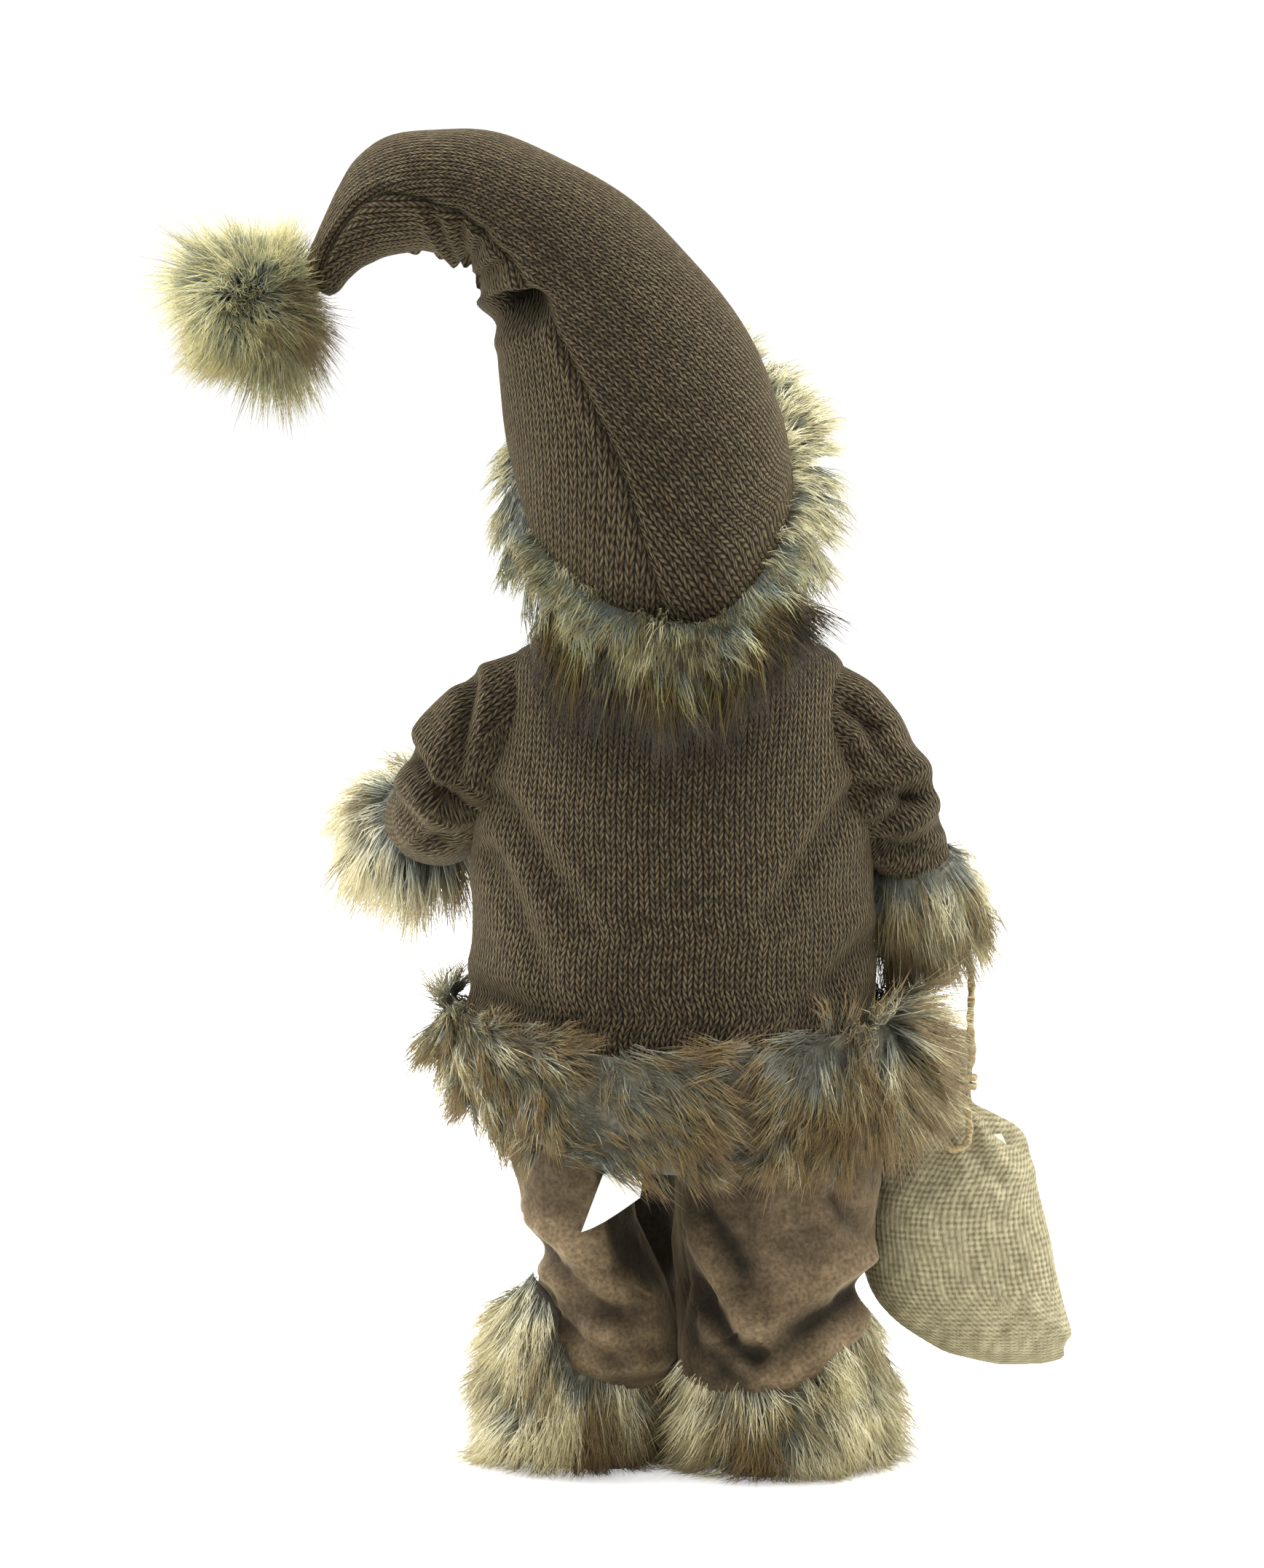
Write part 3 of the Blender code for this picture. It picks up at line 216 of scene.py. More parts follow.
def lofted(name, rings, uv=None, pick=None, finish=None, hoop=False):
    """A closed skin over rings: quads between them and a fan at each end, faces turned outward. A hoop
    has no ends: its last ring joins its first.

    uv holds a map of (rows, columns + 1) points, and pick chooses a second one where it is true."""
    rings = np.concatenate((rings, rings[:1])) if hoop else rings
    rows, cols = rings.shape[:2]
    grid = np.arange(rows * cols).reshape(rows, cols)
    if hoop:
        grid[-1] = grid[0]
    nxt = np.roll(grid, -1, axis=1)
    quads = np.stack((grid[:-1], nxt[:-1], nxt[1:], grid[1:]), axis=2).reshape(-1, 4)
    poles = rows * cols + np.arange(2)
    fans = np.concatenate((np.stack((nxt[0], grid[0], np.full(cols, poles[0])), axis=1),
                           np.stack((grid[-1], nxt[-1], np.full(cols, poles[1])), axis=1)))
    points = np.vstack((rings.reshape(-1, 3), rings[0].mean(axis=0), rings[-1].mean(axis=0)))
    maps = [np.zeros((rows, cols + 1, 2))] if uv is None else list(uv)
    corners = []
    for part in maps:
        square = np.stack((part[:-1, :-1], part[:-1, 1:], part[1:, 1:], part[1:, :-1]), axis=2)
        corners.append(square.reshape(-1, 4, 2))
    loops = corners[0] if pick is None else np.where(pick.reshape(-1, 1, 1), corners[1], corners[0])
    first, last = maps[0][0], maps[0][-1]
    ends = np.concatenate((np.stack((first[1:], first[:-1], (first[1:] + first[:-1]) / 2), axis=1),
                           np.stack((last[:-1], last[1:], (last[1:] + last[:-1]) / 2), axis=1)))
    a, b, c = (points[quads[:, i]] for i in range(3))
    if np.einsum("ij,ij->", a, np.cross(b, c)) < 0:
        quads, fans, loops, ends = quads[:, ::-1], fans[:, ::-1], loops[:, ::-1], ends[:, ::-1]
    if hoop:
        points, fans, ends = points[:(rows - 1) * cols], fans[:0], ends[:0]
    mesh = bpy.data.meshes.new(name)
    mesh.from_pydata(points.tolist(), [], quads.tolist() + fans.tolist())
    mesh.uv_layers.new(name="cloth").data.foreach_set(
        "uv", np.concatenate((loops.reshape(-1, 2), ends.reshape(-1, 2))).ravel())
    mesh.shade_smooth()
    made = bpy.data.objects.new(name, mesh)
    scene.collection.objects.link(made)
    if finish:
        mesh.materials.append(finish)
    return made


def around_length(rings):
    """The length round each ring from its first point, as (rows, columns + 1)."""
    steps = np.linalg.norm(np.roll(rings, -1, axis=1) - rings, axis=2)
    return np.hstack((np.zeros((len(rings), 1)), np.cumsum(steps, axis=1)))


def route_length(points):
    """The length along a route up to each of its points."""
    return np.concatenate(([0], np.cumsum(np.linalg.norm(np.diff(points, axis=0), axis=1))))


def mark(piece, name, values, at_poles=0.0):
    """Gives each point of a lofted piece a named value for its material; the two poles have their own."""
    values = np.append(values.ravel(), (at_poles, at_poles)).astype(np.float32)
    piece.data.attributes.new(name, "FLOAT", "POINT").data.foreach_set("value", values)


def soft_lumps(points, size, seed):
    """Smooth values of about -1 to 1 in space: six sine waves in random directions, of one size."""
    rng = np.random.default_rng(seed)
    total = 0
    for _ in range(6):
        way = rng.normal(size=3)
        way = way / np.linalg.norm(way) * rng.uniform(0.6, 1.5) * 2 * math.pi / size
        total = total + np.sin(points @ way + rng.uniform(0, 2 * math.pi))
    return total / 3


def knitted(name, yarn, olive, dark, pale, wale_mm=4.1, course_mm=2.8):
    """Stockinette in brushed marled yarn, on a UV map in metres. The attribute crease darkens it: painted
    shade in folds, creases and pits, and a darker seam line.

    Each wale is a column of V stitches: two slanted strands that meet in its middle. Their height is
    a round ridge across each strand, cut into stitches by a wave that climbs outward along the V."""
    made, tree, shader = new_material(name)
    place = add(tree, "UVMap", uv_map="cloth")
    axis = add(tree, "SeparateXYZ", {0: place})
    space = add(tree, "TexCoord").outputs["Object"]
    wander = add(tree, "TexNoise", {"Vector": space, "Scale": 60.0, "Detail": 1.0})
    shift = add(tree, "Math", {0: wander, 1: 0.0016, 2: -0.0008}, operation="MULTIPLY_ADD")
    across = add(tree, "Math", {0: axis.outputs["X"], 1: shift}, operation="ADD")
    along = add(tree, "Math", {0: axis.outputs["Y"], 1: shift}, operation="ADD")
    wale = add(tree, "Math", {0: across, 1: 1000 / wale_mm}, operation="MULTIPLY")
    course = add(tree, "Math", {0: along, 1: 1000 / course_mm}, operation="MULTIPLY")
    half = add(tree, "Math", {0: wale, 1: 4.0}, operation="MULTIPLY")
    strand = add(tree, "Math", {0: half, 1: 1.0}, operation="PINGPONG")
    vee = add(tree, "Math", {0: wale, 1: 0.5}, operation="PINGPONG")
    climb = add(tree, "Math", {0: vee, 1: 2.7, 2: course}, operation="MULTIPLY_ADD")
    phase = add(tree, "Math", {0: climb, 1: 2 * math.pi}, operation="MULTIPLY")
    wave = add(tree, "Math", {0: phase}, operation="COSINE")
    stitch = add(tree, "MapRange", {"Value": wave, "From Min": -1.0, "From Max": 0.6,
                                    "To Min": 0.30, "To Max": 1.0}, interpolation_type="SMOOTHSTEP")
    ridge = add(tree, "Math", {0: strand, 1: math.pi / 2}, operation="MULTIPLY")
    round_top = add(tree, "Math", {0: ridge}, operation="SINE")
    gap = add(tree, "MapRange", {"Value": vee, "From Min": 0.0, "From Max": 0.13,
                                 "To Min": 0.25, "To Max": 1.0}, interpolation_type="SMOOTHSTEP")
    apart = add(tree, "Math", {0: stitch, 1: gap}, operation="MULTIPLY")
    height = add(tree, "Math", {0: round_top, 1: apart}, operation="MULTIPLY")
    fibres = add(tree, "TexNoise", {"Vector": space, "Scale": 1500.0, "Detail": 3.0})
    marl = add(tree, "TexNoise", {"Vector": space, "Scale": 420.0, "Detail": 2.0})
    patch = add(tree, "TexNoise", {"Vector": space, "Scale": 22.0, "Detail": 3.0})
    spread = add(tree, "MapRange", {"Value": marl, "From Min": 0.38, "From Max": 0.66})
    heather = add(tree, "TexNoise", {"Vector": space, "Scale": 190.0, "Detail": 1.0})
    dye = add(tree, "MapRange", {"Value": heather, "From Min": 0.40, "From Max": 0.62})
    base = add(tree, "Mix", {"Factor": dye, 6: linear(yarn), 7: linear(olive)}, data_type="RGBA")
    tint = add(tree, "Mix", {"Factor": spread, 6: base.outputs[2], 7: linear(pale)}, data_type="RGBA")
    shade = add(tree, "MapRange", {"Value": patch, "From Min": 0.3, "From Max": 0.7,
                                   "To Min": 0.84, "To Max": 1.12})
    patchy_tone_and_fold_light = add(tree, "VectorMath", {0: tint.outputs[2], "Scale": shade}, operation="SCALE")
    # Painted shade: where the knit lies low, in the gaps between strands and stitches, the colour goes to the
    # dark one
    depth = add(tree, "MapRange", {"Value": height, "From Min": 0.12, "From Max": 0.66},
                interpolation_type="SMOOTHSTEP")
    colour = add(tree, "Mix", {"Factor": depth, 6: linear(dark), 7: patchy_tone_and_fold_light}, data_type="RGBA")
    # Painted shade from the attribute crease, in folds, creases and the hat's pit; on the hat it also darkens
    # the seam line
    crease = add(tree, "Attribute", attribute_name="crease")
    folded = add(tree, "Mix", {"Factor": crease.outputs["Fac"], 6: colour.outputs[2],
                               7: linear("#0d0a07")}, data_type="RGBA")
    fuzz = add(tree, "Math", {0: fibres, 1: 0.22, 2: height}, operation="MULTIPLY_ADD")
    relief = add(tree, "Bump", {"Height": fuzz, "Strength": 1.0, "Distance": 0.0011})
    connect(tree, shader, {"Base Color": folded.outputs[2], "Normal": relief, "Roughness": 0.95,
                           "Specular IOR Level": 0.15, "Sheen Weight": 0.36, "Sheen Roughness": 0.40,
                           "Sheen Tint": linear("#cbb98f")})
    return made


HAT_COLUMNS = 264
HAT_SHIFT = 0.004
HEAD_HALF_HEIGHT = 0.050
BRIM_TILT = math.radians(52)
brim_way = np.array((0, math.sin(BRIM_TILT), math.cos(BRIM_TILT)))
head_low, head_high = corners_of("head")
head_centre = np.array((*((head_low + head_high) / 2)[:2], head_high[2] - HEAD_HALF_HEIGHT))
hat_base = head_centre + (HAT_SHIFT, 0, 0)
# x, y, z from the hat's base, way x, y, z, half width, half depth
HAT_STATIONS = (
    (0.000, 0.000, 0.000, 0.00, 0.788, 0.616, 0.0505, 0.0585),
    (0.003, 0.009, 0.012, 0.05, 0.72, 0.69, 0.0520, 0.0560),
    (0.006, 0.011, 0.025, 0.12, 0.57, 0.80, 0.0525, 0.0520),
    (0.013, 0.012, 0.046, 0.30, 0.32, 0.90, 0.0500, 0.0455),
    (0.025, 0.010, 0.071, 0.48, 0.14, 0.86, 0.0430, 0.0390),
    (0.041, 0.008, 0.094, 0.72, 0.04, 0.69, 0.0340, 0.0330),
    (0.0665, 0.006, 0.1150, 0.965, 0.00, 0.26, 0.0256, 0.0262),
    (0.0883, 0.005, 0.1194, 0.998, -0.01, 0.04, 0.0224, 0.0235),
    (0.1015, 0.004, 0.1177, 0.99, -0.02, -0.12, 0.0220, 0.0210),
    (0.1108, 0.003, 0.1124, 0.955, -0.03, -0.29, 0.0192, 0.0180),
    (0.1165, 0.002, 0.1061, 0.91, -0.05, -0.41, 0.0160, 0.0155),
    (0.1216, 0.001, 0.0993, 0.83, -0.06, -0.55, 0.0126, 0.0130),
    (0.1264, 0.001, 0.0914, 0.67, -0.05, -0.74, 0.0098, 0.0104),
    (0.1297, 0.001, 0.0850, 0.56, -0.05, -0.83, 0.0082, 0.0084),
    (0.1316, 0.001, 0.0820, 0.56, -0.05, -0.83, 0.0062, 0.0062),
)
hat_rows = curve_through(HAT_STATIONS, 14)
hat_centres = hat_base + hat_rows[:, :3]
hat_turns = circle(HAT_COLUMNS)
hat_rings = tube_rings(hat_centres, hat_rows[:, 3:6], hat_rows[:, 6], hat_rows[:, 7], hat_turns, (0, 1, 0))
hat_out = hat_rings - hat_centres[:, None]
hat_out = hat_out / np.linalg.norm(hat_out, axis=2)[:, :, None]

hat_part = np.linspace(0, 1, len(hat_rows))


def seen_height(points):
    """How high points stand in the camera's picture."""
    return points[..., 2] * back_ray[1] - points[..., 1] * back_ray[2]


# share of the hat's length, place of the back seam from -1 at the inner outline to 1 at the outer one
SEAM_STOPS = ((0, 0.05), (0.07, -0.04), (0.17, -0.18), (0.24, -0.30), (0.33, -0.40), (0.42, -0.38),
              (0.50, -0.12), (0.58, 0.12), (0.66, 0.24), (0.85, 0.30), (1, 0.30))
seam_offset = np.interp(hat_part, *zip(*SEAM_STOPS))
seam_turn = np.arccos(-seam_offset)
hat_round = around_length(hat_rings)
whole_turns = np.append(hat_turns, 2 * math.pi)
quarter = np.array([np.interp(math.pi / 2, whole_turns, row) for row in hat_round])
seam_at = np.array([np.interp(turn, whole_turns, row) for turn, row in zip(seam_turn, hat_round)])[:, None]
ring_at, ring_end = hat_round[:, :-1], hat_round[:, -1:]
hat_along = route_length(hat_centres)
seen_x, seen_up = hat_rings[:, :, 0], seen_height(hat_rings)
from_seam = np.minimum(np.abs(ring_at - seam_at), np.abs(ring_end - ring_at - seam_at))
inner_side = 1 / (1 + np.exp((np.minimum(ring_at, ring_end - ring_at) - seam_at) / 0.004))
back_half = np.clip(np.sin(hat_turns) * 3 + 0.5, 0, 1)[None, :]
hat_push = 0.0008 * soft_lumps(hat_rings, 0.05, 3) - 0.0016 * bell(from_seam, 0.0016)
hat_push += 0.0008 * bell(from_seam - 0.0042, 0.0022)
# A darker line along the seam; the painted shade of the creases and the pit is added below
hat_seam_and_shade = 0.75 * bell(from_seam, 0.0011)
# Creases where the tail folds over: length along the hat, lean, depth, half width
HAT_CREASES = ((0.125, 0.30, 0.0040, 0.0032), (0.1385, 0.10, 0.0034, 0.0026),
               (0.150, -0.25, 0.0040, 0.0030), (0.163, -0.55, 0.0030, 0.0028))
for crease_at, lean, deep, wide in HAT_CREASES:
    slant = hat_along[:, None] + lean * (ring_at - seam_at) * (np.sin(hat_turns) > 0) - crease_at
    valley = bell(slant, wide)
    hat_push -= deep * (valley - 0.6 * bell(slant - 2.1 * wide, 1.3 * wide)) * inner_side
    # Painted shade in each crease's valley, on the back half
    hat_seam_and_shade = hat_seam_and_shade + 0.35 * valley ** 2 * inner_side * back_half
POINT_TURN, POINT_SPREAD = 1.94, 0.34
edge_point = bell(hat_turns - POINT_TURN, POINT_SPREAD)[None] * np.clip(1 - hat_part / 0.16, 0, 1)[:, None]
hat_rings += hat_out * (hat_push + 0.0065 * edge_point)[:, :, None]
# The pinch at the bend: a deep pit with a lip over it and a knuckle on the outline
PIT_AT, KNUCKLE_AT = (0.0395, 0.4395), (0.0545, 0.4425)
across_pit, above_pit = seen_x - PIT_AT[0], seen_up - PIT_AT[1]
pit = np.exp(-np.abs(across_pit / 0.0092) ** 2.6 - np.abs(above_pit / 0.0060) ** 2.6) * back_half
lip = bell(across_pit - 0.004, 0.013) * bell(above_pit - 0.0100, 0.0040) * back_half
under = bell(across_pit - 0.007, 0.012) * bell(above_pit + 0.0100, 0.0045) * back_half
knuckle = bell(seen_x - KNUCKLE_AT[0], 0.008) * bell(seen_up - KNUCKLE_AT[1], 0.0038)
hat_rings += (hat_out * (0.0030 * lip + 0.0018 * under - 0.0150 * pit)[:, :, None]
              + pit[:, :, None] * (0, -0.005, 0) + knuckle[:, :, None] * (0.0055, 0.0015, 0.0))
# Painted shade in the pit
hat_seam_and_shade = np.clip(np.maximum(hat_seam_and_shade, 1.5 * pit), 0, 0.96)

# Maps: the outer panel's wales bend over the tail and then run straight, 30 degrees below level
BEND_CENTRE = (-0.0717, 0.4458)
BEND_ENDS = math.radians(30)
BEND_RADIUS = 0.050
OUTER_FINENESS = 1.22
side_x, side_up = np.gradient(hat_centres[:, 0]), np.gradient(hat_centres[:, 2])
side_norm = np.hypot(side_x, side_up)
outer_h, outer_v = side_up / side_norm, side_x / side_norm
from_back = hat_round - quarter[:, None]
flat_h = -hat_centres[:, :1] + from_back * outer_h[:, None] - BEND_CENTRE[0]
flat_v = seen_height(hat_centres)[:, None] + from_back * outer_v[:, None] - BEND_CENTRE[1]
bend_turn, bend_far = np.arctan2(flat_h, flat_v), np.hypot(flat_h, flat_v)
past = np.maximum(bend_turn - BEND_ENDS, 0)
bend_along = BEND_RADIUS * np.minimum(bend_turn, BEND_ENDS) + bend_far * np.sin(past)
outer_map = OUTER_FINENESS * np.stack((bend_far * np.cos(past), bend_along), axis=2)
front_inner = hat_round > ring_end / 2
inner_map = np.stack(np.broadcast_arrays(hat_round - front_inner * ring_end, hat_along[:, None]), axis=2)
middle = (hat_round[:-1, :-1] + hat_round[:-1, 1:]) / 2
is_outer = (middle > seam_at[:-1]) & (middle < ring_end[:-1] - seam_at[:-1])
hat_knit = knitted("brushed_wool_knit", "#423425", "#3b3627", "#0e0905", "#706249")
hat = lofted("knitted_hat", hat_rings, (inner_map, outer_map), is_outer, hat_knit)
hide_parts("hat_crown", "hat_tail")
mark(hat, "crease", hat_seam_and_shade)
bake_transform(hat)

# Hat brim: a band of mottled long-pile faux fur sewn round the hat's edge. The pile is knitted into a
# backing in blue-grey, turns straw and olive half way up and ends in brown tips.
def noise_at(points, size, seed):
    """Smooth patches of about 0 to 1 in space."""
    return np.clip(0.5 + 0.42 * soft_lumps(points, size, seed), 0, 1)


def unit_rows(vectors):
    """Each row at length one."""
    return vectors / np.linalg.norm(vectors, axis=-1, keepdims=True)


ROOT_SINK = 0.0008
UNDERFUR_SHARE, UNDERFUR_LENGTH = 0.33, 0.55


def pile(name, roots, normals, lies, lengths, tones, seed, per_lock=18, lock_radius=0.0024, width=0.00042,
         rise=0.45, droop=0.25, finish=None, floor_at=None, gather=0.55, swirl=0.30):
    """Fur: closed tapering three-sided strands, gathered in locks that share a curve.

    A lock's curve is root + length * (normal * rise * s(1 - s/2) + lie * s - up * droop * s^2), with s from 0
    to 1. A strand starts beside its lock's root and draws in to the lock's curve by the share gather at
    its tip. A third of the strands are short grey underfur. The map holds s across and the tone, from
    dark 0 to pale 1, up."""
    rng = np.random.default_rng(seed)
    locks = len(roots)
    count = locks * per_lock
    lock = np.repeat(np.arange(locks), per_lock)
    drift = np.stack([soft_lumps(roots, 0.040, seed + i) for i in range(3)], axis=1)
    lies = unit_rows(lies) + swirl * drift + 0.12 * rng.normal(size=(locks, 3))
    normal, lie = unit_rows(normals)[lock], unit_rows(lies)[lock]
    first = unit_rows(np.cross(normal, rng.normal(size=3)))
    second = np.cross(normal, first)
    swing = rng.uniform(0, 2 * math.pi, count)
    reach = lock_radius * np.sqrt(rng.uniform(0, 1, count))
    beside = (np.cos(swing) * reach)[:, None] * first + (np.sin(swing) * reach)[:, None] * second
    underfur = rng.uniform(size=count) < UNDERFUR_SHARE
    length = lengths[lock] * rng.uniform(0.72, 1.08, count) * np.where(underfur, UNDERFUR_LENGTH, 1.0)
    stray = rng.normal(size=(count, 3)) * 0.14
    curl = unit_rows(rng.normal(size=(locks, 3)))[lock] * rng.uniform(0, 0.14, locks)[lock][:, None]
    stops = np.array((0.0, 0.5, 1.0))[:, None, None]
    drawn = gather * rng.uniform(0.4, 1.3, locks)[lock][:, None]
    curve = (normal[None] * rise * stops * (1 - 0.5 * stops) + lie[None] * stops
             - np.array((0, 0, droop)) * stops ** 2 + stray[None] * stops ** 1.5
             + curl[None] * np.sin(math.pi * stops))
    line = (roots[lock] - normal * ROOT_SINK)[None] + length[None, :, None] * curve
    line += beside[None] * (1 - drawn * stops)
    if floor_at is not None:
        line[:, :, 2] = np.maximum(line[:, :, 2], floor_at + 0.0006 * rng.uniform(size=count)[None])
    way = unit_rows(np.gradient(line, axis=0))
    flat = unit_rows(np.cross(way, first[None] + 0.3 * second[None]))
    deep = np.cross(way, flat)
    thick = width * rng.uniform(0.75, 1.2, count)
    rings = []
    for step, share in enumerate((1.0, 0.80)):
        for corner in range(3):
            turn = 2 * math.pi * corner / 3
            rings.append(line[step] + (thick * share / 2)[:, None] * (math.cos(turn) * flat[step]
                                                                     + math.sin(turn) * deep[step]))
    points = np.stack(rings + [line[2]], axis=1)
    quads = [(corner, (corner + 1) % 3, 3 + (corner + 1) % 3, 3 + corner) for corner in range(3)]
    tips = [(3 + corner, 3 + (corner + 1) % 3, 6) for corner in range(3)] + [(2, 1, 0)]
    base = 7 * np.arange(count)[:, None, None]
    quads, tips = (base + np.array(quads)[None]).reshape(-1, 4), (base + np.array(tips)[None]).reshape(-1, 3)
    tone = (tones + 0.15 * rng.normal(size=locks))[lock]
    tone = np.where(underfur, 0.5, tone) + 0.12 * rng.normal(size=count)
    stop_u = np.array((0.02,) * 3 + (0.50,) * 3 + (0.98,))
    side_v = np.array((-0.006, 0.006, 0.0) * 2 + (0.0,))
    spots = np.stack((np.where(underfur[:, None], stop_u * 0.62, stop_u),
                      np.clip(tone, 0.02, 0.98)[:, None] + side_v), axis=2).reshape(-1, 2)
    points = points.reshape(-1, 3)
    mesh = bpy.data.meshes.new(name)
    corners, faces = len(quads) * 4 + len(tips) * 3, len(quads) + len(tips)
    order = np.concatenate((quads.ravel(), tips.ravel())).astype(np.int32)
    mesh.vertices.add(len(points))
    mesh.vertices.foreach_set("co", points.astype(np.float32).ravel())
    mesh.loops.add(corners)
    mesh.loops.foreach_set("vertex_index", order)
    mesh.polygons.add(faces)
    starts = np.concatenate((4 * np.arange(len(quads)), 4 * len(quads) + 3 * np.arange(len(tips))))
    mesh.polygons.foreach_set("loop_start", starts.astype(np.int32))
    mesh.update(calc_edges=True)
    mesh.uv_layers.new(name="OFBake").data.foreach_set("uv", spots[order].astype(np.float32).ravel())
    mesh.shade_smooth()
    made = bpy.data.objects.new(name, mesh)
    scene.collection.objects.link(made)
    mesh.materials.append(finish)
    return made


def ramp(tree, value, stops):
    """A colour ramp driven by a value, through pairs of a position and a hex colour."""
    made = add(tree, "ValToRGB", {0: value})
    points = made.color_ramp.elements
    points[0].position, points[1].position = stops[0][0], stops[-1][0]
    points[0].color, points[1].color = linear(stops[0][1]), linear(stops[-1][1])
    for place, code in stops[1:-1]:
        points.new(place).color = linear(code)
    return made


def furry(name, dark, grey, pale, sheen=0.35):
    """Acrylic pile: colour runs along each strand, in a dark, a grey and a pale run mixed by its tone."""
    made, tree, shader = new_material(name)
    place = add(tree, "UVMap", uv_map="OFBake")
    axis = add(tree, "SeparateXYZ", {0: place})
    runs = [ramp(tree, axis.outputs["X"], [(i / (len(codes) - 1), code) for i, code in enumerate(codes)])
            for codes in (dark, grey, pale)]
    low = add(tree, "MapRange", {"Value": axis.outputs["Y"], "From Min": 0.12, "From Max": 0.48})
    high = add(tree, "MapRange", {"Value": axis.outputs["Y"], "From Min": 0.52, "From Max": 0.86})
    first = add(tree, "Mix", {"Factor": low, 6: runs[0], 7: runs[1]}, data_type="RGBA")
    both = add(tree, "Mix", {"Factor": high, 6: first.outputs[2], 7: runs[2]}, data_type="RGBA")
    connect(tree, shader, {"Base Color": both.outputs[2], "Roughness": 0.55, "Specular IOR Level": 0.35,
                           "Sheen Weight": sheen, "Sheen Tint": linear("#e0d8b8")})
    return made


def mottled(name, low, high, grain, rough=0.8, metal=0.0, rise=0.0003):
    """A plain surface in two close tones, with grain of one size in its colour and relief."""
    made, tree, shader = new_material(name)
    space = add(tree, "TexCoord").outputs["Object"]
    speck = add(tree, "TexNoise", {"Vector": space, "Scale": grain, "Detail": 4.0})
    spread = add(tree, "MapRange", {"Value": speck, "From Min": 0.32, "From Max": 0.68})
    colour = add(tree, "Mix", {"Factor": spread, 6: linear(low), 7: linear(high)}, data_type="RGBA")
    relief = add(tree, "Bump", {"Height": speck, "Strength": 0.6, "Distance": rise})
    connect(tree, shader, {"Base Color": colour.outputs[2], "Normal": relief, "Roughness": rough,
                           "Metallic": metal})
    return made


FUR_DARK = ("#343127", "#625b43", "#846c39", "#5c4124", "#271b11")
FUR_GREY = ("#41453f", "#686e65", "#878163", "#887241", "#523d21")
FUR_PALE = ("#7d8074", "#c6c7b4", "#eee7c6", "#ebdfab", "#ab8f55")
mottled_fur = furry("mottled_acrylic_fur", FUR_DARK, FUR_GREY, FUR_PALE)
BANDED_DARK = ("#525c5c", "#6f7a76", "#868a76", "#857d48", "#382c19", "#17110b", "#15100a")
BANDED_GREY = ("#4f5857", "#6f7a77", "#858d80", "#9f9c66", "#756233", "#332717")
BANDED_PALE = ("#7a7d72", "#b2b29c", "#d3cca4", "#e6ddb6", "#dccf9f")
banded_fur = furry("banded_acrylic_fur", BANDED_DARK, BANDED_GREY, BANDED_PALE)
backing_knit = mottled("fur_backing_knit", "#4b483d", "#6b6758", 500, rough=0.95)
BRIM_HALF_WIDTH, BRIM_HALF_LENGTH = 0.050, 0.0625
BRIM_TUBE = 0.0110
BRIM_LOCKS = 940
BRIM_PILE = 0.0180
brim_deep = np.array((0, math.cos(BRIM_TILT), -math.sin(BRIM_TILT)))


def brim_at(around, tube):
    """A point of the brim's ring, its outward direction and the radial direction there."""
    point = 1 + 0.10 * bell(around % (2 * math.pi) - POINT_TURN, POINT_SPREAD)[:, None]
    across, along = np.cos(around)[:, None] * (1, 0, 0), np.sin(around)[:, None] * brim_deep
    spoke = point * (across * BRIM_HALF_WIDTH + along * BRIM_HALF_LENGTH)
    radial = unit_rows(across / BRIM_HALF_WIDTH + along / BRIM_HALF_LENGTH)
    out = np.cos(tube)[:, None] * radial + np.sin(tube)[:, None] * brim_way
    return hat_base + spoke + BRIM_TUBE * out, out, radial


rng = np.random.default_rng(11)
around = rng.uniform(0, 2 * math.pi, BRIM_LOCKS)
tube = np.interp(rng.uniform(size=BRIM_LOCKS), (0, 0.24, 0.50, 1), (-2.6, 0, 1.2, 2.6))
brim_roots, brim_out, brim_radial = brim_at(around, tube)
brim_sections = [brim_at(np.full(14, turn), circle(14)) for turn in circle(96)]
brim_shell = np.stack([point - 0.0025 * out for point, out, _ in brim_sections])
brim_knit = mottled("brim_backing_knit", "#474c48", "#747a70", 700, rough=0.95)
fall = np.clip(0.5 - 1.1 * brim_radial[:, 2:], 0, 1)
to_left = np.clip(brim_radial[:, :1] * 1.6, 0, 1)
over_crest = np.maximum(tube - math.pi / 2, 0)[:, None]
brim_outward = brim_radial * (1 - 0.55 * fall) * (1 - 0.55 * to_left) * np.cos(over_crest)
brim_downward = (fall + 0.35 * to_left) * (0, 0, 1.0)
brim_lies = brim_outward + brim_way * np.sin(over_crest) - (1 - 0.8 * np.sin(over_crest)) * brim_downward
to_right = np.clip(-brim_radial[:, :1] * 1.6, 0, 1)
brim_lies += 0.35 * to_right * (1 - fall) * (0, 0, 1.0)
brim_low = np.clip((hat_base[2] - 0.020 - brim_roots[:, 2]) / 0.02, 0, 1)
brim_dark = brim_low * np.clip(2.6 * (noise_at(brim_roots, 0.026, 12) - 0.5) + 0.35, 0, 0.8)
brim_dark = np.maximum(brim_dark, brim_low * np.interp(tube, (0.4, 1.1), (0.95, 0)))
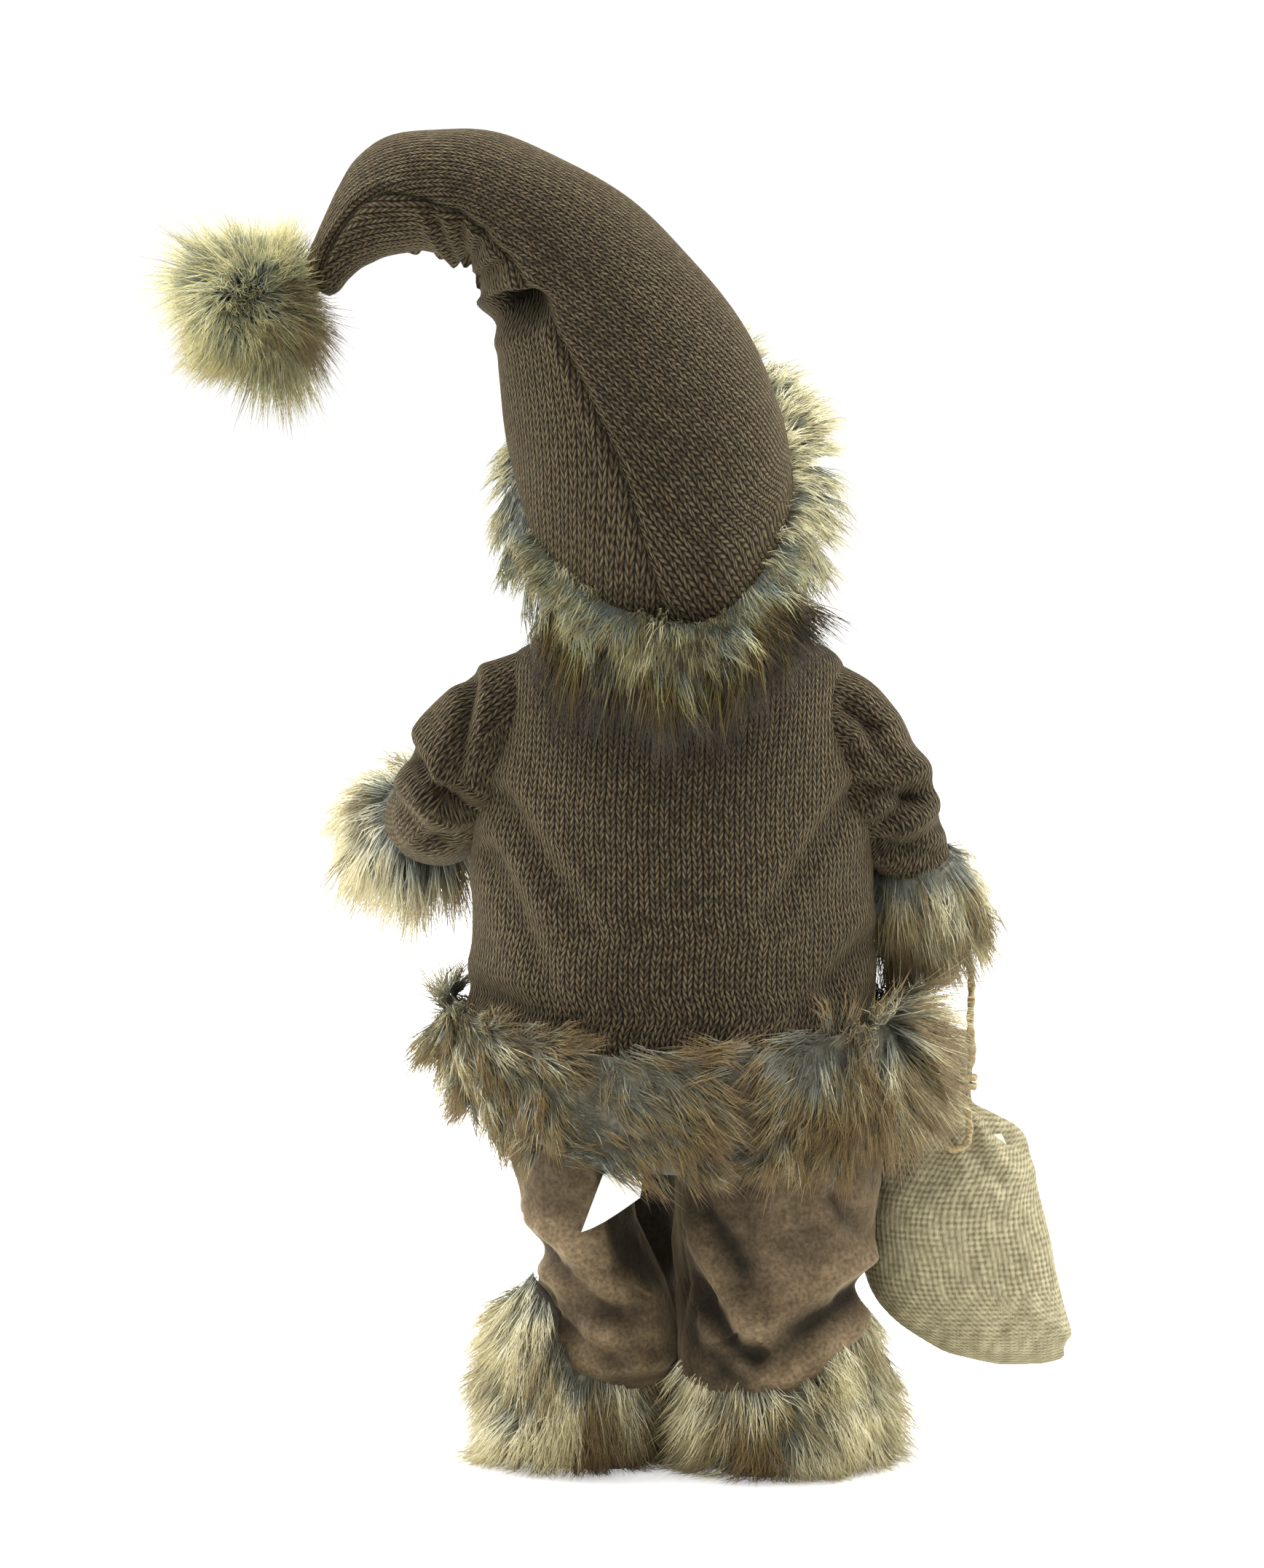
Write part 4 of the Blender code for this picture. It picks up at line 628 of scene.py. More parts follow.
# Painted light: the tone is raised towards the band's two sides, above its lower edge, as light on the
# outline
brim_tones = np.clip(0.55 + 0.5 * (noise_at(brim_roots, 0.03, 5) - 0.5) - 0.75 * brim_dark
                     + 0.24 * (to_right + 0.5 * to_left)[:, 0] * (1 - brim_low), 0, 1)
brim_long = BRIM_PILE * (0.74 + 0.62 * noise_at(brim_roots, 0.014, 6)) * (1 - 0.22 * to_right[:, 0])
brim_long *= 1 - 0.38 * to_left[:, 0] * (1 - brim_low)
brim_long *= 1 + brim_low * np.interp(tube, (0.3, 1.1), (0.28, 0.10))
brim = pile("hat_brim_fur", brim_roots, brim_out, brim_lies, brim_long, brim_tones, 21, rise=0.34,
            gather=0.35, lock_radius=0.0032, finish=banded_fur)
dark_fur = furry("dark_brown_acrylic_fur", ("#2b2a1f", "#3c3520", "#2e2413", "#1a140b", "#120e08"),
                 ("#45473a", "#5c5530", "#41351c", "#241c10", "#17120b"),
                 ("#5f6150", "#8a7d44", "#6a5628", "#352816", "#1d170f"), sheen=0.04)
DARK_LOCKS, DARK_BELOW = 240, 190
rng = np.random.default_rng(24)
# True for the locks along the band's lower edge, False for those of the tuft at its right end
below_band = np.arange(DARK_LOCKS) < DARK_BELOW
below_at = np.clip(rng.normal(88, 21, DARK_LOCKS), 46, 128)
tuft_at = rng.normal(132, 5, DARK_LOCKS)
dark_around = np.radians(np.where(below_band, below_at, tuft_at))
dark_tube = np.where(below_band, rng.uniform(-0.3, 0.8, DARK_LOCKS), rng.uniform(0.0, 1.3, DARK_LOCKS))
dark_roots, dark_out, dark_radial = brim_at(dark_around, dark_tube)
dark_lies = np.where(below_band[:, None], 0.30 * dark_radial + (0, 0, -0.9), (-0.80, 0.30, -0.45))
dark_long = np.where(below_band, 0.0350, 0.0260) * (0.52 + 0.62 * noise_at(dark_roots, 0.011, 27))
dark_tones = rng.uniform(0.05, 0.9, DARK_LOCKS)
dark_tips = pile("hat_brim_dark_tips", dark_roots, dark_out, dark_lies, dark_long, dark_tones, 25, rise=0.26,
                 gather=0.5, swirl=0.35, lock_radius=0.0030, finish=dark_fur)
silver_fur = furry("silver_tipped_acrylic_fur", ("#4c5354", "#6d7570", "#857f55", "#6b4f2a", "#33251a"),
                   ("#647073", "#88938f", "#9aa391", "#a8a164", "#5f4a29"),
                   ("#8d9492", "#b7bdae", "#d9d7b0", "#e6db9c", "#8a6f3b"))
GREY_LOCKS = 230
grey_around = np.radians(rng.uniform(20, 160, GREY_LOCKS))
grey_roots, grey_out, grey_radial = brim_at(grey_around, rng.uniform(1.0, 2.1, GREY_LOCKS))
grey_lies = grey_radial * (1, 1, 0.4) + (0, 0, -0.5)
grey_long = 0.0125 * rng.uniform(0.6, 1.2, GREY_LOCKS)
grey_tones = rng.uniform(0.15, 0.48, GREY_LOCKS)
grey_underfur = pile("hat_brim_grey_underfur", grey_roots, grey_out, grey_lies, grey_long, grey_tones, 26,
                     rise=0.55, gather=0.3, swirl=0.45, lock_radius=0.0034, finish=silver_fur)
brim_core = lofted("hat_brim_backing", brim_shell, finish=brim_knit, hoop=True)
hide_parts("hat_fur_brim")
for piece in (brim, dark_tips, grey_underfur, brim_core):
    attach(piece, "head")


# Pom-pom: a ball of the same fur, drawn together by a yarn and tied to the hat's tip by its shank
def level_rings(x, y, wide, deep, height, turns):
    """Level rings, each at a height: x + wide * cos(turn) across and y + deep * sin(turn) back."""
    return np.stack(np.broadcast_arrays(x + wide * np.cos(turns), y + deep * np.sin(turns), height), axis=2)


POMPOM_CORE = 0.0155
POMPOM_PILE = 0.0225
POMPOM_LOCKS = 800
POMPOM_LIFT = np.array((-0.0045, 0, 0.0050))
pompom_low, pompom_high = corners_of("pompom")
pompom_centre = (pompom_low + pompom_high) / 2 + POMPOM_LIFT
golden = np.arange(POMPOM_LOCKS) * math.pi * (3 - math.sqrt(5))
rise_at = 1 - 2 * (np.arange(POMPOM_LOCKS) + 0.5) / POMPOM_LOCKS
level_out = np.sqrt(1 - rise_at ** 2)
pompom_out = np.stack((level_out * np.cos(golden), level_out * np.sin(golden), rise_at), axis=1)
ball_tilts = np.linspace(0.12, math.pi - 0.12, 12)[:, None]
ball_round, ball_up = np.sin(ball_tilts), np.cos(ball_tilts)
pompom_ball = pompom_centre + POMPOM_CORE * level_rings(0, 0, ball_round, ball_round, ball_up, circle(24))
out_x, out_y, out_z = pompom_out.T
facing = np.clip(out_y, 0, 1)
near_tail = np.clip(-1.6 * out_x - 0.1, 0, 1)
below = np.clip(0.5 - 1.6 * out_z, 0, 1)
sweep = (1 - below) * np.clip(0.6 + 2.5 * out_x, 0, 1)
far_side = np.clip(1.5 * out_x - 0.1, 0, 1) * (1 - below)
tip_brown = near_tail * np.clip(1.3 - np.abs(out_z + 0.15) * 1.5, 0, 1)
# Painted light and shade: the tone drops where the ball faces the camera and rises towards its left and right
# outline
pompom_tones = 0.56 + 0.5 * (noise_at(pompom_out * 0.02, 0.018, 8) - 0.5) - 0.08 * facing ** 2
pompom_tones = np.clip(pompom_tones + 0.26 * np.abs(out_x) - 0.85 * tip_brown, 0.08, 1)
pompom_drift = np.stack([soft_lumps(pompom_out, 1.6, 13 + i) for i in range(3)], axis=1)
pompom_lies = 0.80 * pompom_out + 0.36 * pompom_drift
pompom_lies += sweep[:, None] * (0.60, 0, 0.10) + (near_tail * below)[:, None] * (-0.90, 0, 0.10)
pompom_long = POMPOM_PILE * (0.60 + 0.58 * noise_at(pompom_out * 0.02, 0.020, 9)) * (1 - 0.35 * facing)
pompom_long *= 1 + 0.55 * near_tail * below + 0.29 * far_side
pompom_roots = pompom_centre + pompom_out * POMPOM_CORE
pompom = pile("pompom_fur", pompom_roots, pompom_out, pompom_lies, pompom_long, pompom_tones, 22,
              lock_radius=0.0034, rise=0.25, droop=0.10, gather=0.65, swirl=0.50, finish=silver_fur)
core = lofted("pompom_core", pompom_ball, finish=backing_knit)
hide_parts("pompom")
for piece in (pompom, core):
    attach(piece, "pompom")


# Coat: a sack of the same knit with its wales upright, pulled over the stuffed torso. It is gathered
# a little over the hem and drags in soft folds under the arms.
def spokes(turns):
    """Level outward directions, as one row of points."""
    return np.stack((np.cos(turns), np.sin(turns), np.zeros(len(turns))), axis=1)[None]


COAT_COLUMNS = 320
COAT_ABOVE_TORSO = 0.005
coat_low, coat_high = corners_of("coat")
coat_middle = (coat_low + coat_high) / 2
torso_top = coat_high[2] - COAT_ABOVE_TORSO
# drop below the torso's top, half width, half depth
COAT_STATIONS = (
    (0.161, 0.0800, 0.0680), (0.153, 0.0790, 0.0670), (0.140, 0.0780, 0.0650), (0.121, 0.0775, 0.0620),
    (0.091, 0.0770, 0.0600), (0.066, 0.0770, 0.0585), (0.041, 0.0740, 0.0550), (0.016, 0.0675, 0.0480),
    (0.002, 0.0655, 0.0430), (-0.007, 0.0625, 0.0370), (-0.013, 0.0530, 0.0300), (-0.0155, 0.0360, 0.0220),
    (-0.016, 0.0180, 0.0120),
)
coat_rows = curve_through(COAT_STATIONS, 10)
coat_z = torso_top - coat_rows[:, 0]
coat_turns = circle(COAT_COLUMNS) - math.pi / 2
coat_rings = level_rings(coat_middle[0], coat_middle[1], coat_rows[:, 1:2], coat_rows[:, 2:3],
                         coat_z[:, None], coat_turns)
gathers = bell(coat_z - 0.176, 0.013)[:, None] * np.sin(coat_turns * 17 + 1.2 * np.sin(coat_turns * 5))
coat_push = 0.0008 * soft_lumps(coat_rings, 0.06, 4) + 0.0007 * gathers
from_middle = coat_rings[:, :, 0] - coat_middle[0]
coat_fold_shade = np.zeros(from_middle.shape)
# x and z of a fold's foot and of its tip, depth
COAT_FOLDS = ((0.066, 0.262, 0.030, 0.215, 0.0016), (0.070, 0.240, 0.046, 0.190, 0.0014),
              (-0.068, 0.262, -0.036, 0.222, 0.0015), (0.072, 0.186, 0.030, 0.176, 0.0015),
              (-0.072, 0.205, -0.050, 0.182, 0.0012))
for foot_x, foot_z, tip_x, tip_z, deep in COAT_FOLDS:
    run = np.array((tip_x - foot_x, tip_z - foot_z))
    far_x, far_z = from_middle - foot_x, coat_rings[:, :, 2] - foot_z
    share = np.clip((far_x * run[0] + far_z * run[1]) / (run @ run), 0, 1)
    away = np.hypot(far_x - share * run[0], far_z - share * run[1])
    coat_push -= 2.3 * deep * (1 - 0.6 * share) * (bell(away, 0.0046) - 0.4 * bell(away - 0.010, 0.005))
    # Painted shade along each fold, kept in the attribute crease
    coat_fold_shade += 0.50 * (1 - 0.6 * share) * bell(away, 0.0030)
coat_rings += spokes(coat_turns) * np.maximum(coat_push, -0.0027)[:, :, None]
coat_round = around_length(coat_rings)
coat_down = route_length(coat_rings[:, COAT_COLUMNS // 2])[:, None]
coat_map = np.stack(np.broadcast_arrays(coat_round - coat_round[:, -1:] / 2, coat_down), axis=2)
coat = lofted("knitted_coat", coat_rings, (coat_map,), finish=hat_knit)
mark(coat, "crease", coat_fold_shade)
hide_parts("coat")
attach(coat, "doll")

# Sleeves: tubes of the same knit over stuffed, wired arms. They are sewn into the coat's sides and
# crease at the elbow, most on the left arm, which is bent forward.
def fold_push(points, lines):
    """How far folds stand out, seen from behind. A line holds x, z of its two ends, height and half width.

    A crest is broad above its line and steep below it, with a trough at its foot; a line of negative
    height is a crease, sharp at its bottom, with a soft swell on each side."""
    total = 0
    for x_first, z_first, x_last, z_last, high, wide in lines:
        run = np.array((x_last - x_first, z_last - z_first))
        far_x, far_z = points[..., 0] - x_first, points[..., 2] - z_first
        share = np.clip((far_x * run[0] + far_z * run[1]) / (run @ run), 0, 1)
        away = np.hypot(far_x - share * run[0], far_z - share * run[1]) / wide
        if high > 0:
            above = np.sign(run[0]) * (run[0] * far_z - run[1] * far_x) > 0
            away = np.where(above, away / 1.5, away * 1.5)
            form = np.exp(-away ** 2) - 0.55 * np.exp(-(away - 2.6) ** 2) * ~above
        else:
            form = np.exp(-away ** 1.6) - 0.30 * bell(away - 2.2, 1.2)
        total = total + high * (1 - 0.4 * share) * form
    return total


shoulder_at = {"left": joint_at["left_shoulder"], "right": joint_at["right_shoulder"]}
WRIST_RADIUS = 0.0138
WIRE_RADIUS = 0.0010
wire_steel = mottled("drawn_steel_wire", "#8f8f8d", "#a8a8a6", 700, rough=0.35, metal=1.0, rise=0.00005)
# offset from the shoulder (x outward), way, radius
SLEEVE_STATIONS = {
    "left": ((-0.0200, 0, 0.0150, 0.78, 0, -0.62, 0.0165), (-0.0060, 0, 0.0045, 0.78, 0, -0.62, 0.0205),
             (0.0060, 0, -0.0065, 0.68, -0.05, -0.73, 0.0222),
             (0.0145, -0.004, -0.0240, 0.44, -0.35, -0.82, 0.0218),
             (0.021, -0.016, -0.0370, 0.26, -0.86, -0.42, 0.0192),
             (0.0240, -0.028, -0.0410, 0.28, -0.93, -0.20, 0.0174),
             (0.0290, -0.0435, -0.0425, 0.32, -0.94, -0.08, 0.0150),
             (0.0365, -0.0650, -0.0440, 0.34, -0.94, -0.06, WRIST_RADIUS)),
    "right": ((-0.0200, 0, 0.0140, 0.74, 0, -0.67, 0.0160), (-0.0075, 0, 0.0030, 0.64, 0, -0.77, 0.0195),
              (0.0010, 0, -0.0110, 0.55, 0, -0.83, 0.0208),
              (0.0105, -0.002, -0.028, 0.42, -0.08, -0.90, 0.0203),
              (0.0190, -0.006, -0.045, 0.38, -0.20, -0.90, 0.0175),
              (0.0250, -0.0089, -0.0555, 0.28, -0.24, -0.93, 0.0146),
              (0.0305, -0.0150, -0.078, 0.26, -0.24, -0.93, WRIST_RADIUS)),
}
SLEEVE_COLUMNS = 150
SLEEVE_FOLDS = {
    "left": ((0.0600, 0.306, 0.0650, 0.262, -0.0052, 0.0030),
             (0.0840, 0.277, 0.0710, 0.263, -0.0050, 0.0028),
             (0.0710, 0.263, 0.0590, 0.257, -0.0050, 0.0028),
             (0.0820, 0.292, 0.0720, 0.272, 0.0030, 0.0040), (0.0850, 0.262, 0.0640, 0.247, 0.0034, 0.0042),
             (0.0760, 0.242, 0.0600, 0.249, -0.0034, 0.0028)),
    "right": ((-0.0910, 0.266, -0.1110, 0.262, -0.0046, 0.0034),
              (-0.1110, 0.262, -0.0960, 0.250, -0.0042, 0.0034),
              (-0.1000, 0.286, -0.1200, 0.262, 0.0036, 0.0042),
              (-0.0850, 0.296, -0.1080, 0.280, -0.0036, 0.0036),
              (-0.0960, 0.244, -0.1200, 0.238, -0.0034, 0.0030),
              (-0.1220, 0.256, -0.1060, 0.248, 0.0030, 0.0036)),
}
ARM_BACK = np.array((0.66, 0, 0.75))
wrists = {}
for side, mirror in (("left", 1), ("right", -1)):
    flip = np.array((mirror, 1, 1, mirror, 1, 1, 1))
    rows = curve_through(np.array(SLEEVE_STATIONS[side]) * flip, 14)
    centres = shoulder_at[side] + rows[:, :3]
    turns = circle(SLEEVE_COLUMNS)
    reference = ARM_BACK * (mirror, 1, 1)
    rings = tube_rings(centres, rows[:, 3:6], rows[:, 6], rows[:, 6], turns, reference)
    out = unit_rows(rings - centres[:, None])
    down = route_length(centres)
    bend = np.gradient(unit_rows(rows[:, 3:6]), axis=0)
    bend = bend / (np.linalg.norm(bend, axis=1).max() + 1e-9)
    inside = np.clip(np.einsum("ijk,ik->ij", out, bend), 0, 1)
    push = 0.0010 * soft_lumps(rings, 0.03, 31 if side == "left" else 32)
    seen_side = np.clip(0.5 + 2.0 * out[:, :, 1], 0, 1)
    folds = fold_push(rings, SLEEVE_FOLDS[side]) * seen_side
    for at, deep, wide in ((0.033, 0.0026, 0.0030), (0.044, 0.0030, 0.0028), (0.055, 0.0026, 0.0028)):
        ripple = down[:, None] + 0.009 * np.sin(turns + at * 70)[None]
        folds -= deep * bell(ripple - at, wide) * inside * (1 - seen_side)
    push += folds
    rings += out * push[:, :, None]
    ring_round = around_length(rings)
    sleeve_map = np.stack(np.broadcast_arrays(ring_round, down[:, None]), axis=2)
    sleeve = lofted(side + "_knitted_sleeve", rings, (sleeve_map,), finish=hat_knit)
    # Painted shade in the sleeve's creases, kept in the attribute crease
    mark(sleeve, "crease", np.clip(-folds / 0.0070, 0, 0.62))
    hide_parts(side + "_sleeve")
    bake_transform(sleeve)
    wrists[side] = (centres[-1], unit_rows(rows[-1, 3:6]))
    wire_rings = tube_rings(centres, rows[:, 3:6], WIRE_RADIUS, WIRE_RADIUS, turns[::10], reference)
    wire = lofted(side + "_steel_arm_wire", wire_rings, finish=wire_steel)
    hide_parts(side + "_arm_wire")
    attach(wire, side + "_arm")

# Cuffs: bands of the fur round the wrists, combed towards the hands
CUFF_LENGTH = 0.034
CUFF_LOCKS = 440
CUFF_PILE = {"left": 0.0210, "right": 0.0185}
# how far the pile leans out, how far it is lifted, its tone
CUFF_STYLE = {"left": (0.35, -0.35, 0.24), "right": (0.22, 0.05, 0.10)}
# share of the cuff's length, share of its thickness
CUFF_PROFILE = ((0, 0), (0.08, 0.7), (0.4, 1), (0.75, 0.9), (1, 0.3), (1, -0.25), (0.5, -0.25))
for side, mirror, seed in (("left", 1, 41), ("right", -1, 42)):
    wrist, wrist_way = wrists[side]
    reference = ARM_BACK * (mirror, 1, 1)
    start = wrist - wrist_way * CUFF_LENGTH * 0.75
    rng = np.random.default_rng(seed)
    along, turn = rng.uniform(0.0, 1, CUFF_LOCKS), rng.uniform(0, 2 * math.pi, CUFF_LOCKS)
    deep = unit_rows(reference - (reference @ wrist_way) * wrist_way)
    wide = np.cross(deep, wrist_way)
    out = np.cos(turn)[:, None] * wide + np.sin(turn)[:, None] * deep
    girth = WRIST_RADIUS + 0.0045 * np.sin(math.pi * np.clip(along * 0.8 + 0.15, 0, 1))
    roots = start + (along * CUFF_LENGTH)[:, None] * wrist_way + girth[:, None] * out
    rim = np.cos(circle(28))[:, None] * wide + np.sin(circle(28))[:, None] * deep
    backing = np.stack([start + wrist_way * along_at * CUFF_LENGTH + (WRIST_RADIUS + 0.0042 * high_at) * rim
                        for along_at, high_at in CUFF_PROFILE])
    lean, lift, tone = CUFF_STYLE[side]
    # Painted shade and light: the pile is darker on the side towards the coat and paler on its outer side
    tones = np.clip(tone + 0.70 * noise_at(roots, 0.022, 43) + 0.30 * mirror * out[:, 0], 0, 1)
    hangs = np.clip(-out[:, 2:], 0, 1) * (side == "left")
    lies = wrist_way + out * lean + (0, 0, lift) + hangs * (0.10, 0.35, -0.75)
    longer = 0.35 * np.clip(out[:, 0], 0, 1) * (side == "right") + 0.45 * hangs[:, 0]
    lengths = CUFF_PILE[side] * (0.75 + 0.5 * noise_at(roots, 0.015, 44) + longer)
    cuff = pile(side + "_cuff_pile", roots, out, lies, lengths, tones, seed + 4, rise=0.34, swirl=0.42,
                finish=mottled_fur)
    cuff_core = lofted(side + "_cuff_backing", backing, finish=backing_knit, hoop=True)
    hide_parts(side + "_cuff_fur")
    for piece in (cuff, cuff_core):
        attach(piece, side + "_arm")

# Hem: a wide band of the fur round the coat's lower edge, in two strips that meet at the back seam.
# The pile lies down and towards the seam from both sides.
HEM_LOCKS = 880
HEM_THICKNESS, HEM_PILE = 0.012, 0.0185
HEM_TOP_BACK, HEM_TOP_SIDE, HEM_BOTTOM_BACK, HEM_BOTTOM_SIDE = 0.171, 0.181, 0.117, 0.133
BACK_SEAM, FRONT_SEAM = 2 * math.pi * 9 / 32, 2 * math.pi * 24 / 32


def coat_half(z):
    """The coat's half width and half depth at a height."""
    order = np.argsort(coat_z)
    return tuple(np.interp(z, coat_z[order], coat_rows[order, i]) for i in (1, 2))


def hem_at(turn, level, reach):
    """A point of the hem's band: level 0 is its lower edge and 1 its upper one; reach is outward."""
    sideways = np.abs(np.cos(turn)) ** 1.5
    low_edge = HEM_BOTTOM_BACK + (HEM_BOTTOM_SIDE - HEM_BOTTOM_BACK) * sideways
    z = low_edge + (HEM_TOP_BACK + (HEM_TOP_SIDE - HEM_TOP_BACK) * sideways - low_edge) * level
    wide, deep = coat_half(z)
    tuck = (0.017 * (1 - level) - 0.004 * level) * np.clip(np.cos(turn), 0, 1)
    flare = 0.004 * bell(np.mod(turn, 2 * math.pi) - 2.70, 0.45)
    return np.stack((coat_middle[0] + (wide + reach - tuck + flare) * np.cos(turn),
                     coat_middle[1] + (deep + reach + flare) * np.sin(turn), z), axis=-1)


HEM_SIDES = (("right", BACK_SEAM, FRONT_SEAM, 51), ("left", FRONT_SEAM - 2 * math.pi, BACK_SEAM, 52))
# level and reach of the backing's outline
HEM_PROFILE = ((0.16, 0), (0.5, 0), (0.93, 0), (0.93, 0.4), (0.82, 0.80), (0.5, 0.95),
               (0.24, 0.70), (0.15, 0.3))
HEM_STEPS = 56
for side, first, last, seed in HEM_SIDES:
    rng = np.random.default_rng(seed)
    turn = rng.uniform(first + 0.02, last - 0.02, HEM_LOCKS)
    level = 0.14 + 0.88 * rng.uniform(0, 1, HEM_LOCKS) ** 0.85
    swell = np.interp(level, (0, 0.1, 0.5, 0.85, 1), (0.30, 0.72, 0.95, 0.85, 0.45))
    roots = hem_at(turn, level, 0.0008 + HEM_THICKNESS * swell)
    out = unit_rows(np.stack((np.cos(turn), np.sin(turn), 0.9 * (level - 0.45)), axis=1))
    to_seam = np.stack((-np.sin(turn), np.cos(turn), np.zeros(HEM_LOCKS)), axis=1)
    to_seam *= -1 if side == "right" else 1
    to_seam = np.where(np.sin(turn)[:, None] < 0, -to_seam, to_seam)
    far_right = np.clip(-np.cos(turn), 0, 1) ** 2 * np.clip(0.5 + 2 * np.sin(turn), 0, 1)
    across = 0.95 * np.clip(np.abs(np.sin(turn)) * 1.5 - 0.15, 0, 1) * (1 - 0.8 * far_right)
    lies = np.array((0, 0, -0.55)) + to_seam * across[:, None] - out * (0.30 * (1 - level))[:, None]
    lift_top = np.clip((level - 0.84) / 0.16, 0, 1) * np.clip(2.5 * np.abs(np.sin(turn)) - 0.3, 0.9, 1)
    lies += (0, 0, 0.75) * (lift_top * np.clip(1 - 1.6 * far_right, 0.8, 1))[:, None]
    lies -= (0, 0, 0.75) * np.clip((0.36 - level) / 0.20, 0, 1)[:, None]
    lies += far_right[:, None] * (-0.45, 0.15, 0.05)
    steps = np.linspace(first + 0.004, last - 0.004, HEM_STEPS)
    band = np.stack([hem_at(steps, np.full(HEM_STEPS, lift), 0.0008 + HEM_THICKNESS * 0.85 * reach)
                     for lift, reach in HEM_PROFILE])
    # Painted light: the tone rises towards the doll's left and right sides, as light on the outline
    tones = 0.80 * noise_at(roots * (1, 1, 1.25), 0.020, 53) + 0.50 * np.abs(np.cos(turn)) ** 2
    tones = np.clip(tones - 0.14 * far_right - 0.42, 0, 1)
    lengths = HEM_PILE * (0.75 + 0.5 * noise_at(roots, 0.02, 54)) * (1 + 0.50 * far_right)
    lengths *= 0.78 + 0.3 * level
    hem = pile(side + "_hem_pile", roots, out, lies, lengths, tones, seed + 2, lock_radius=0.0032, rise=0.36,
               droop=0.10, swirl=0.58, finish=mottled_fur)
    hem_core = lofted(side + "_hem_backing", np.swapaxes(band, 0, 1), finish=backing_knit)
    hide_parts("hem_fur_" + side)
    for piece in (hem, hem_core):
        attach(piece, "doll")


# Trousers: two stuffed legs of brown velour that slouch over the boots, and the seat over both. Painted
# light lies on the crest of each fold and painted shade in its valley, over the velour's own sheen.
def velour_cloth(name, deep, mid, crest):
    """Short-pile velour: soft patches where the nap lies differently, a fine grain and a strong sheen."""
    made, tree, shader = new_material(name)
    space = add(tree, "TexCoord").outputs["Object"]
    nap = add(tree, "TexNoise", {"Vector": space, "Scale": 70.0, "Detail": 5.0, "Distortion": 0.8})
    grain = add(tree, "TexNoise", {"Vector": space, "Scale": 620.0, "Detail": 3.0})
    lay = ramp(tree, nap, ((0.25, deep), (0.5, mid), (0.78, crest)))
    speck = add(tree, "MapRange", {"Value": grain, "From Min": 0.3, "From Max": 0.7,
                                   "To Min": 0.62, "To Max": 1.40})
    both = add(tree, "VectorMath", {0: lay, "Scale": speck}, operation="SCALE")
    # Painted light and shade: the attribute fold, the height of the cloth's folds, lightens the crests and
    # darkens the valleys and the gap between the legs
    fold = add(tree, "Attribute", attribute_name="fold")
    lit = add(tree, "MapRange", {"Value": fold.outputs["Fac"], "From Min": -1.0, "From Max": 1.0,
                                 "To Min": 0.20, "To Max": 1.95})
    patchy_tone_and_fold_light = add(tree, "VectorMath", {0: both, "Scale": lit}, operation="SCALE")
    height = add(tree, "Math", {0: grain, 1: 0.6, 2: nap}, operation="MULTIPLY_ADD")
    relief = add(tree, "Bump", {"Height": height, "Strength": 0.6, "Distance": 0.0009})
    connect(tree, shader, {"Base Color": patchy_tone_and_fold_light, "Normal": relief, "Roughness": 0.85,
                           "Specular IOR Level": 0.2, "Sheen Weight": 0.9, "Sheen Roughness": 0.35,
                           "Sheen Tint": linear("#a8987a")})
    return made


trouser_velour = velour_cloth("brown_velour", "#403526", "#4b3f2e", "#5a4d3a")
ANKLES = {"left": np.array((0.01278, -0.00376)), "right": np.array((-0.05972, 0.01124))}
LEG_COLUMNS = 200
# height, low x, high x, half depth
TROUSER_STATIONS = {
    "left": ((0.0305, -0.0140, 0.0200, 0.024), (0.036, -0.0205, 0.0270, 0.030),
             (0.048, -0.0212, 0.0290, 0.033), (0.060, -0.0216, 0.0295, 0.033),
             (0.075, -0.0216, 0.0315, 0.0320), (0.090, -0.0214, 0.0350, 0.033),
             (0.104, -0.0210, 0.0405, 0.033), (0.118, -0.0205, 0.0440, 0.034),
             (0.140, -0.0190, 0.0470, 0.034)),
    "right": ((0.0300, -0.0780, -0.0300, 0.024), (0.034, -0.0865, -0.0205, 0.031),
              (0.046, -0.0905, -0.0190, 0.0345), (0.060, -0.0920, -0.0184, 0.0345),
              (0.075, -0.0925, -0.0184, 0.0325), (0.090, -0.0940, -0.0184, 0.034),
              (0.104, -0.0965, -0.0184, 0.034), (0.118, -0.0985, -0.0190, 0.035),
              (0.140, -0.0985, -0.0190, 0.035)),
}
TROUSER_FOLDS = {
    "left": ((0.034, 0.096, 0.000, 0.074, 0.0052, 0.0060), (0.030, 0.074, -0.014, 0.066, 0.0050, 0.0052),
             (0.032, 0.084, 0.006, 0.064, -0.0034, 0.0036), (-0.018, 0.058, 0.018, 0.050, 0.0044, 0.0060),
             (0.028, 0.058, 0.002, 0.042, -0.0032, 0.0034), (-0.014, 0.040, 0.022, 0.040, 0.0034, 0.0046)),
    "right": ((-0.024, 0.089, -0.047, 0.060, 0.0054, 0.0060),
              (-0.090, 0.084, -0.047, 0.060, 0.0056, 0.0060),
              (-0.028, 0.106, -0.046, 0.080, -0.0034, 0.0044),
              (-0.024, 0.072, -0.050, 0.046, -0.0040, 0.0042),
              (-0.092, 0.070, -0.052, 0.047, -0.0040, 0.0042),
              (-0.028, 0.060, -0.056, 0.038, 0.0038, 0.0050),
              (-0.088, 0.056, -0.062, 0.038, 0.0040, 0.0050),
              (-0.080, 0.110, -0.090, 0.090, -0.0036, 0.0040)),
}
